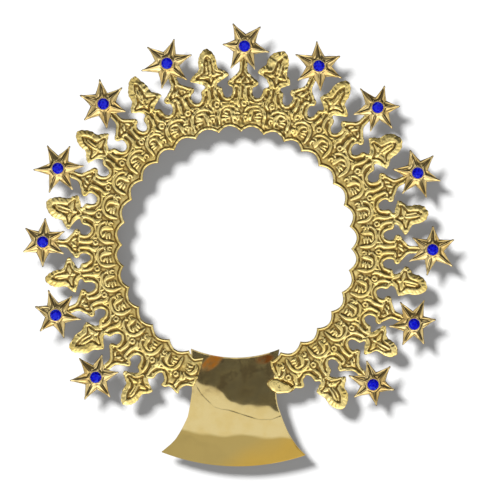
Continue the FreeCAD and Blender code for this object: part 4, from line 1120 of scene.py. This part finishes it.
def brass(name, clean, deep, dark, rough, fine=1.0, hollows=True, plate=False):
    """Polished sheet brass: warm metal, a darker layer in the recesses that is partly patina and partly painted shade,
    paler crests that are rubbed wear and a painted highlight, faint polishing marks.
    """
    m, g = new_material(name)
    where = g.node("ShaderNodeTexCoord").outputs["Object"]
    out = g.node("ShaderNodeOutputMaterial")
    shader = g.node("ShaderNodeBsdfPrincipled")
    shader.inputs["Metallic"].default_value = 1.0
    if not plate:
        # thin clear lacquer
        shader.inputs["Coat Weight"].default_value = 0.3
        shader.inputs["Coat Roughness"].default_value = 0.12
    cloud = g.noise(where, 110.0, 3.0, 0.55)
    spots = g.noise(where, 620.0, 2.0, 0.6)
    tint = g.colour(g.ramp(cloud, 0.38, 0.66), clean, deep)
    if hollows:
        patina_and_painted_shade = g.node("ShaderNodeAttribute", attribute_name="patina_and_painted_shade").outputs["Fac"]
        crest = g.node("ShaderNodeAttribute", attribute_name="crest").outputs["Fac"]
        rear = g.node("ShaderNodeAttribute", attribute_name="rear").outputs["Fac"]
        # darkening of the recesses, partly patina and partly painted shade, broken up by small spots
        patina_and_painted_shade_amount = g.math("MULTIPLY", g.ramp(patina_and_painted_shade, 0.22, 0.85), g.ramp(spots, 0.25, 0.62, 0.75, 1.0))
        if not plate:
            tint = g.colour(patina_and_painted_shade_amount, tint, dark)
            # painted shade: the deepest recesses go almost black-brown
            tint = g.colour(g.math("MULTIPLY", g.ramp(patina_and_painted_shade, 0.70, 1.0), 0.62), tint, (0.10, 0.05, 0.009, 1))
            # paler, less saturated crests: a painted highlight tint, with some rubbed wear
            wear_and_painted_highlight = g.math("MULTIPLY", g.ramp(crest, 0.25, 0.95), 0.35)
            tint = g.colour(wear_and_painted_highlight, tint, (min(1.0, clean[0] * 1.03), min(1.0, clean[1] * 1.10), min(1.0, clean[2] * 1.45), 1))
        # the back was never polished: a duller, browner film
        tint = g.colour(g.math("MULTIPLY", rear, g.ramp(cloud, 0.3, 0.7, 0.25, 0.7)), tint, (0.52, 0.30, 0.09, 1))
    r = g.ramp(cloud, 0.3, 0.7, rough * 0.85, rough * 1.25)
    if hollows and not plate:
        r = g.math("ADD", r, g.math("MULTIPLY", patina_and_painted_shade_amount, 0.22), clamp=True)
    if hollows:
        r = g.math("ADD", r, g.math("MULTIPLY", rear, 0.16), clamp=True)
    if plate:
        sep = g.node("ShaderNodeSeparateXYZ", {0: where})
        x, z = sep.outputs[0], sep.outputs[2]
        sway = g.math("MULTIPLY", g.math("SUBTRACT", g.noise(where, 38.0, 2.0), 0.5), 0.016)
        zz = g.math("ADD", z, sway)
        # the foot below a wavy line is a darker brass, more amber towards the right and the bottom edge
        amber = g.ramp(g.math("ADD", g.math("MULTIPLY", x, 0.55), g.math("MULTIPLY", zz, -1.0)), 0.018, 0.036)
        foot = g.colour(amber, (0.56, 0.415, 0.137, 1), (0.68, 0.44, 0.088, 1))
        wave = g.math("ADD", z, g.math("MULTIPLY", g.math("SUBTRACT", g.noise(where, 52.0, 1.0), 0.5), 0.008))
        tint = g.colour(g.ramp(g.math("ADD", wave, g.math("MULTIPLY", x, 0.07)), -0.0115, -0.0138), tint, foot)
        # faint clouds on the upper half
        cloudy = g.math("MULTIPLY", g.ramp(g.noise(where, 70.0, 3.0), 0.36, 0.66), g.ramp(z, 0.000, 0.010))
        tint = g.colour(g.math("MULTIPLY", cloudy, 0.45), tint, (0.62, 0.44, 0.17, 1))
        # brown blotches of old polish on the upper third
        blotch = g.math("MULTIPLY", g.ramp(g.noise(where, 118.0, 3.0, 0.6), 0.50, 0.62), g.ramp(z, 0.006, 0.013))
        tint = g.colour(g.math("MULTIPLY", blotch, 0.52), tint, (0.40, 0.27, 0.12, 1))
        # heat tarnish beside the two soldered joints: slanted tongues of brown
        for cx, cz, turn, long, wide, near_tint, dull in ((-0.0120, 0.0257, 39, 0.0082, 0.0031, (0.64, 0.23, 0.028, 1), 0.10),
                                                          (0.0166, 0.0281, 8, 0.0050, 0.0027, (0.40, 0.13, 0.022, 1), 0.07)):
            c, s = math.cos(math.radians(turn)), math.sin(math.radians(turn))
            dx = g.math("SUBTRACT", g.math("ADD", x, g.math("MULTIPLY", sway, 0.5)), cx)
            dz = g.math("SUBTRACT", zz, cz)
            a = g.math("DIVIDE", g.math("ADD", g.math("MULTIPLY", dx, c), g.math("MULTIPLY", dz, s)), long)
            b = g.math("DIVIDE", g.math("SUBTRACT", g.math("MULTIPLY", dz, c), g.math("MULTIPLY", dx, s)), wide)
            rr = g.math("ADD", g.math("MULTIPLY", a, a), g.math("MULTIPLY", b, b))
            near = g.math("MULTIPLY", g.ramp(rr, 1.5, 0.25), g.ramp(g.noise(where, 300.0, 3.0), 0.3, 0.6, 0.45, 1.0))
            tint = g.colour(near, tint, near_tint)
            r = g.math("ADD", r, g.math("MULTIPLY", near, dull), clamp=True)
    g.tree.links.new(tint, shader.inputs["Base Color"])
    g.tree.links.new(r, shader.inputs["Roughness"])
    scratch_at = g.node("ShaderNodeMapping", {"Vector": where, "Scale": (1.0, 1.0, 0.22)}).outputs[0]
    marks = g.noise(scratch_at, 2600.0, 2.0, 0.6)
    hammer = g.noise(where, 430.0 if not plate else 90.0, 2.0, 0.5)
    bump = g.node("ShaderNodeBump", {"Height": g.math("ADD", g.math("MULTIPLY", hammer, 1.0), g.math("MULTIPLY", marks, 0.03)),
                                     "Strength": 0.16 * fine, "Distance": 0.00010 if not plate else 0.00004})
    g.tree.links.new(bump.outputs[0], shader.inputs["Normal"])
    g.tree.links.new(shader.outputs[0], out.inputs[0])
    return m


def solder_material():
    m, g = new_material("soft_solder")
    where = g.node("ShaderNodeTexCoord").outputs["Object"]
    out = g.node("ShaderNodeOutputMaterial")
    shader = g.node("ShaderNodeBsdfPrincipled")
    shader.inputs["Metallic"].default_value = 1.0
    cloud = g.noise(where, 900.0, 3.0)
    g.tree.links.new(g.colour(g.ramp(cloud, 0.35, 0.65), (0.50, 0.49, 0.46, 1), (0.33, 0.31, 0.27, 1)), shader.inputs["Base Color"])
    g.tree.links.new(g.ramp(cloud, 0.3, 0.7, 0.28, 0.5), shader.inputs["Roughness"])
    bump = g.node("ShaderNodeBump", {"Height": g.noise(where, 1400.0, 2.0), "Strength": 0.5, "Distance": 0.00012})
    g.tree.links.new(bump.outputs[0], shader.inputs["Normal"])
    g.tree.links.new(shader.outputs[0], out.inputs[0])
    return m


def glass_material():
    """Deep blue foiled glass: each facet is painted its own lighter or darker blue and the brightest ones a paler blue,
    painted light, shade and highlights in place of the reflections inside the stone.
    """
    m, g = new_material("blue_glass_foiled")
    where = g.node("ShaderNodeTexCoord").outputs["Object"]
    out = g.node("ShaderNodeOutputMaterial")
    shader = g.node("ShaderNodeBsdfPrincipled")
    shader.inputs["Roughness"].default_value = 0.06
    shader.inputs["IOR"].default_value = 1.6
    shader.inputs["Specular IOR Level"].default_value = 0.12
    shader.inputs["Coat Weight"].default_value = 0.10
    shader.inputs["Coat Roughness"].default_value = 0.03
    painted_facet_light = g.node("ShaderNodeAttribute", attribute_name="painted_facet_light").outputs["Fac"]
    inner = g.node("ShaderNodeTexVoronoi", {"Vector": where, "Scale": 820.0}, feature="F1").outputs["Distance"]
    # painted light and shade: per-facet brightness plus a fine mottle
    mix = g.math("ADD", g.math("MULTIPLY", painted_facet_light, 0.62), g.math("MULTIPLY", g.ramp(inner, 0.15, 0.75), 0.45))
    deep = g.colour(g.ramp(mix, 0.12, 0.62), (0.003, 0.002, 0.22, 1), (0.006, 0.008, 0.88, 1))
    tint = g.colour(g.ramp(mix, 0.70, 1.05), deep, (0.05, 0.11, 0.95, 1))
    g.tree.links.new(tint, shader.inputs["Base Color"])
    g.tree.links.new(shader.outputs[0], out.inputs[0])
    return m


STRIP = brass("stamped_brass_polished", (0.92, 0.735, 0.28, 1), (0.87, 0.655, 0.20, 1), (0.36, 0.215, 0.040, 1), 0.11)
STAR = brass("star_brass_polished", (0.84, 0.64, 0.27, 1), (0.74, 0.51, 0.17, 1), (0.17, 0.095, 0.018, 1), 0.12)
PLATE = brass("plate_brass_mirror", (0.90, 0.72, 0.33, 1), (0.88, 0.68, 0.28, 1), (0.30, 0.17, 0.04, 1), 0.055, 0.8, True, True)
SOLDER = solder_material()
GLASS = glass_material()


def dress(obj, material, slot_name, *nodes):
    obj.data.materials.clear()
    obj.data.materials.append(material)
    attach(obj, "root")
    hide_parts(*nodes)


for number in range(7):
    dress(build_strip(number), STRIP, "stamped_brass", "ring_segment_%d" % (number + 1))
for index in range(13):
    star, (sx, sz) = build_star(index)
    dress(star, STAR, "star_brass", "star_%02d" % (index + 1))
    dress(build_stone(index, sx, sz), GLASS, "blue_glass", "stone_%02d" % (index + 1))
dress(build_plate(), PLATE, "plate_brass", "base_plate")
laps, joints, behind = build_solders()
dress(laps, SOLDER, "solder", "ring_lap_solder")
dress(joints, SOLDER, "solder", "plate_joint_solder")
dress(behind, SOLDER, "solder", "star_joint_solder")

# ---------------------------------------------------------------- studio
WALL_Y, FLOOR_Z = 0.0082, -0.056


def stage_sheet(name, corners, material):
    mesh = bpy.data.meshes.new(name)
    mesh.from_pydata(corners, [], [(0, 1, 2, 3)])
    mesh.materials.append(material)
    obj = bpy.data.objects.new(name, mesh)
    bpy.context.scene.collection.objects.link(obj)
    obj.visible_glossy = False
    obj.visible_diffuse = False
    obj.visible_transmission = False
    obj.visible_shadow = False
    return obj


def paper(name, glow, albedo):
    """Pale studio paper; seen from behind it isn't there."""
    m, g = new_material(name)
    out = g.node("ShaderNodeOutputMaterial")
    diffuse = g.node("ShaderNodeBsdfDiffuse", {"Color": (albedo, albedo, albedo, 1)})
    light = g.node("ShaderNodeEmission", {"Color": (1, 1, 1, 1), "Strength": glow})
    both = g.node("ShaderNodeAddShader", {0: diffuse.outputs[0], 1: light.outputs[0]})
    clear = g.node("ShaderNodeBsdfTransparent")
    rear = g.node("ShaderNodeNewGeometry").outputs["Backfacing"]
    mix = g.node("ShaderNodeMixShader", {0: rear, 1: both.outputs[0], 2: clear.outputs[0]})
    g.tree.links.new(mix.outputs[0], out.inputs[0])
    return m


PAPER = paper("studio_paper", 0.15, 0.15)
wall = stage_sheet("studio_wall", [(-1.6, WALL_Y, FLOOR_Z), (1.6, WALL_Y, FLOOR_Z), (1.6, WALL_Y, 1.9), (-1.6, WALL_Y, 1.9)], PAPER)
floor = stage_sheet("studio_floor", [(-1.6, -2.6, FLOOR_Z), (1.6, -2.6, FLOOR_Z), (1.6, 1.6, FLOOR_Z), (-1.6, 1.6, FLOOR_Z)], PAPER)

stage_set = bpy.data.collections.new("studio_set")
stage_set.objects.link(wall)
stage_set.objects.link(floor)

key = bpy.data.lights.new("key", "SUN")
key.energy = 26.0
key.angle = math.radians(16.0)
key_obj = bpy.data.objects.new("key", key)
bpy.context.scene.collection.objects.link(key_obj)
key_obj.rotation_mode = "QUATERNION"
key_obj.rotation_quaternion = Vector((7.4, 9.3, -6.9)).to_track_quat("-Z", "Y")
key_obj.light_linking.receiver_collection = stage_set


def studio_world():
    """Soft studio: a dim room in front of the object, a bright sweep below it, soft boxes high left and right."""
    world = bpy.data.worlds.new("studio")
    bpy.context.scene.world = world
    world.use_nodes = True
    g = Nodes(world.node_tree)
    way = g.node("ShaderNodeTexCoord").outputs["Generated"]
    sep = g.node("ShaderNodeSeparateXYZ", {0: way})
    x, y, z = sep.outputs

    def box(direction, inner, outer, gain):
        d = Vector(direction).normalized()
        dot = g.node("ShaderNodeVectorMath", {0: way, 1: tuple(d)}, operation="DOT_PRODUCT").outputs["Value"]
        return g.math("MULTIPLY", g.ramp(dot, math.cos(math.radians(outer)), math.cos(math.radians(inner))), gain)
    front = g.math("MULTIPLY", y, -1.0)
    # bright towards the front, falling away to the sides
    light = g.ramp(front, 0.08, 0.88, 0.10, 0.57)
    light = g.math("MULTIPLY", light, g.ramp(z, 0.03, 0.44, 1.0, 0.40))
    light = g.math("ADD", light, box((0.04, -0.66, -0.75), 12, 44, 0.90))
    light = g.math("ADD", light, box((-0.46, -0.76, 0.48), 5, 15, 1.1))
    light = g.math("ADD", light, box((0.62, -0.75, 0.24), 5, 15, 1.0))
    light = g.math("ADD", light, box((-0.80, -0.55, -0.10), 5, 14, 1.1))
    light = g.math("ADD", light, box((0.10, -0.55, 0.83), 5, 15, 1.2))
    light = g.math("ADD", light, box((-0.15, -0.80, -0.58), 5, 16, 1.1))
    light = g.math("ADD", light, box((0.52, -0.62, -0.58), 6, 18, 0.8))
    light = g.math("ADD", light, box((0.30, 0.75, 0.55), 18, 48, 1.1))
    light = g.math("ADD", light, box((-0.60, 0.75, 0.10), 10, 30, 0.6))
    for way_to, inner, outer, deep in (((0.20, -0.76, 0.62), 10, 28, 0.60), ((0.25, -0.93, 0.25), 3, 9, 0.45), ((-0.30, -0.90, 0.02), 3, 9, 0.4)):
        light = g.math("MULTIPLY", light, g.math("SUBTRACT", 1.0, box(way_to, inner, outer, deep)))
    # pale sweep just below the axis, and the dim doorway straight ahead above it
    sweep = g.math("MULTIPLY", g.ramp(z, 0.15, 0.05), g.ramp(z, -0.62, -0.30))
    light = g.math("ADD", light, g.math("MULTIPLY", g.math("MULTIPLY", sweep, g.ramp(front, 0.72, 0.92)), 0.22))
    door = g.math("MULTIPLY", g.math("MULTIPLY", g.ramp(z, -0.045, -0.036), g.ramp(z, 0.032, 0.018)), g.ramp(g.math("ABSOLUTE", g.math("SUBTRACT", x, 0.010)), 0.056, 0.040))
    door = g.math("MULTIPLY", door, g.ramp(front, 0.8, 0.9))
    light = g.math("MULTIPLY", light, g.math("SUBTRACT", 1.0, g.math("MULTIPLY", door, 0.858)))
    seen = g.node("ShaderNodeLightPath").outputs["Is Camera Ray"]
    value = g.node("ShaderNodeMix", data_type="FLOAT")
    g.tree.links.new(seen, value.inputs[0])
    g.tree.links.new(light, value.inputs[2])
    value.inputs[3].default_value = 0.93
    back = g.node("ShaderNodeBackground", {"Color": value.outputs[0], "Strength": 1.0})
    out = g.node("ShaderNodeOutputWorld")
    g.tree.links.new(back.outputs[0], out.inputs[0])


studio_world()

# ---------------------------------------------------------------- camera
cam = bpy.data.cameras.new("camera")
cam.sensor_width = 36.0
cam.lens = 36.0 / 265.0 * 2000.0
cam.clip_start, cam.clip_end = 0.05, 20.0
cam_obj = bpy.data.objects.new("camera", cam)
bpy.context.scene.collection.objects.link(cam_obj)
cam_obj.location = (0.00591, -2.0, 0.08509)
cam_obj.rotation_euler = (math.pi / 2, 0, 0)
bpy.context.scene.camera = cam_obj
bpy.context.scene.view_settings.view_transform = "Standard"
bpy.context.scene.view_settings.look = "None"
bpy.context.scene.view_settings.exposure = 0.0
bpy.context.scene.view_settings.gamma = 1.0
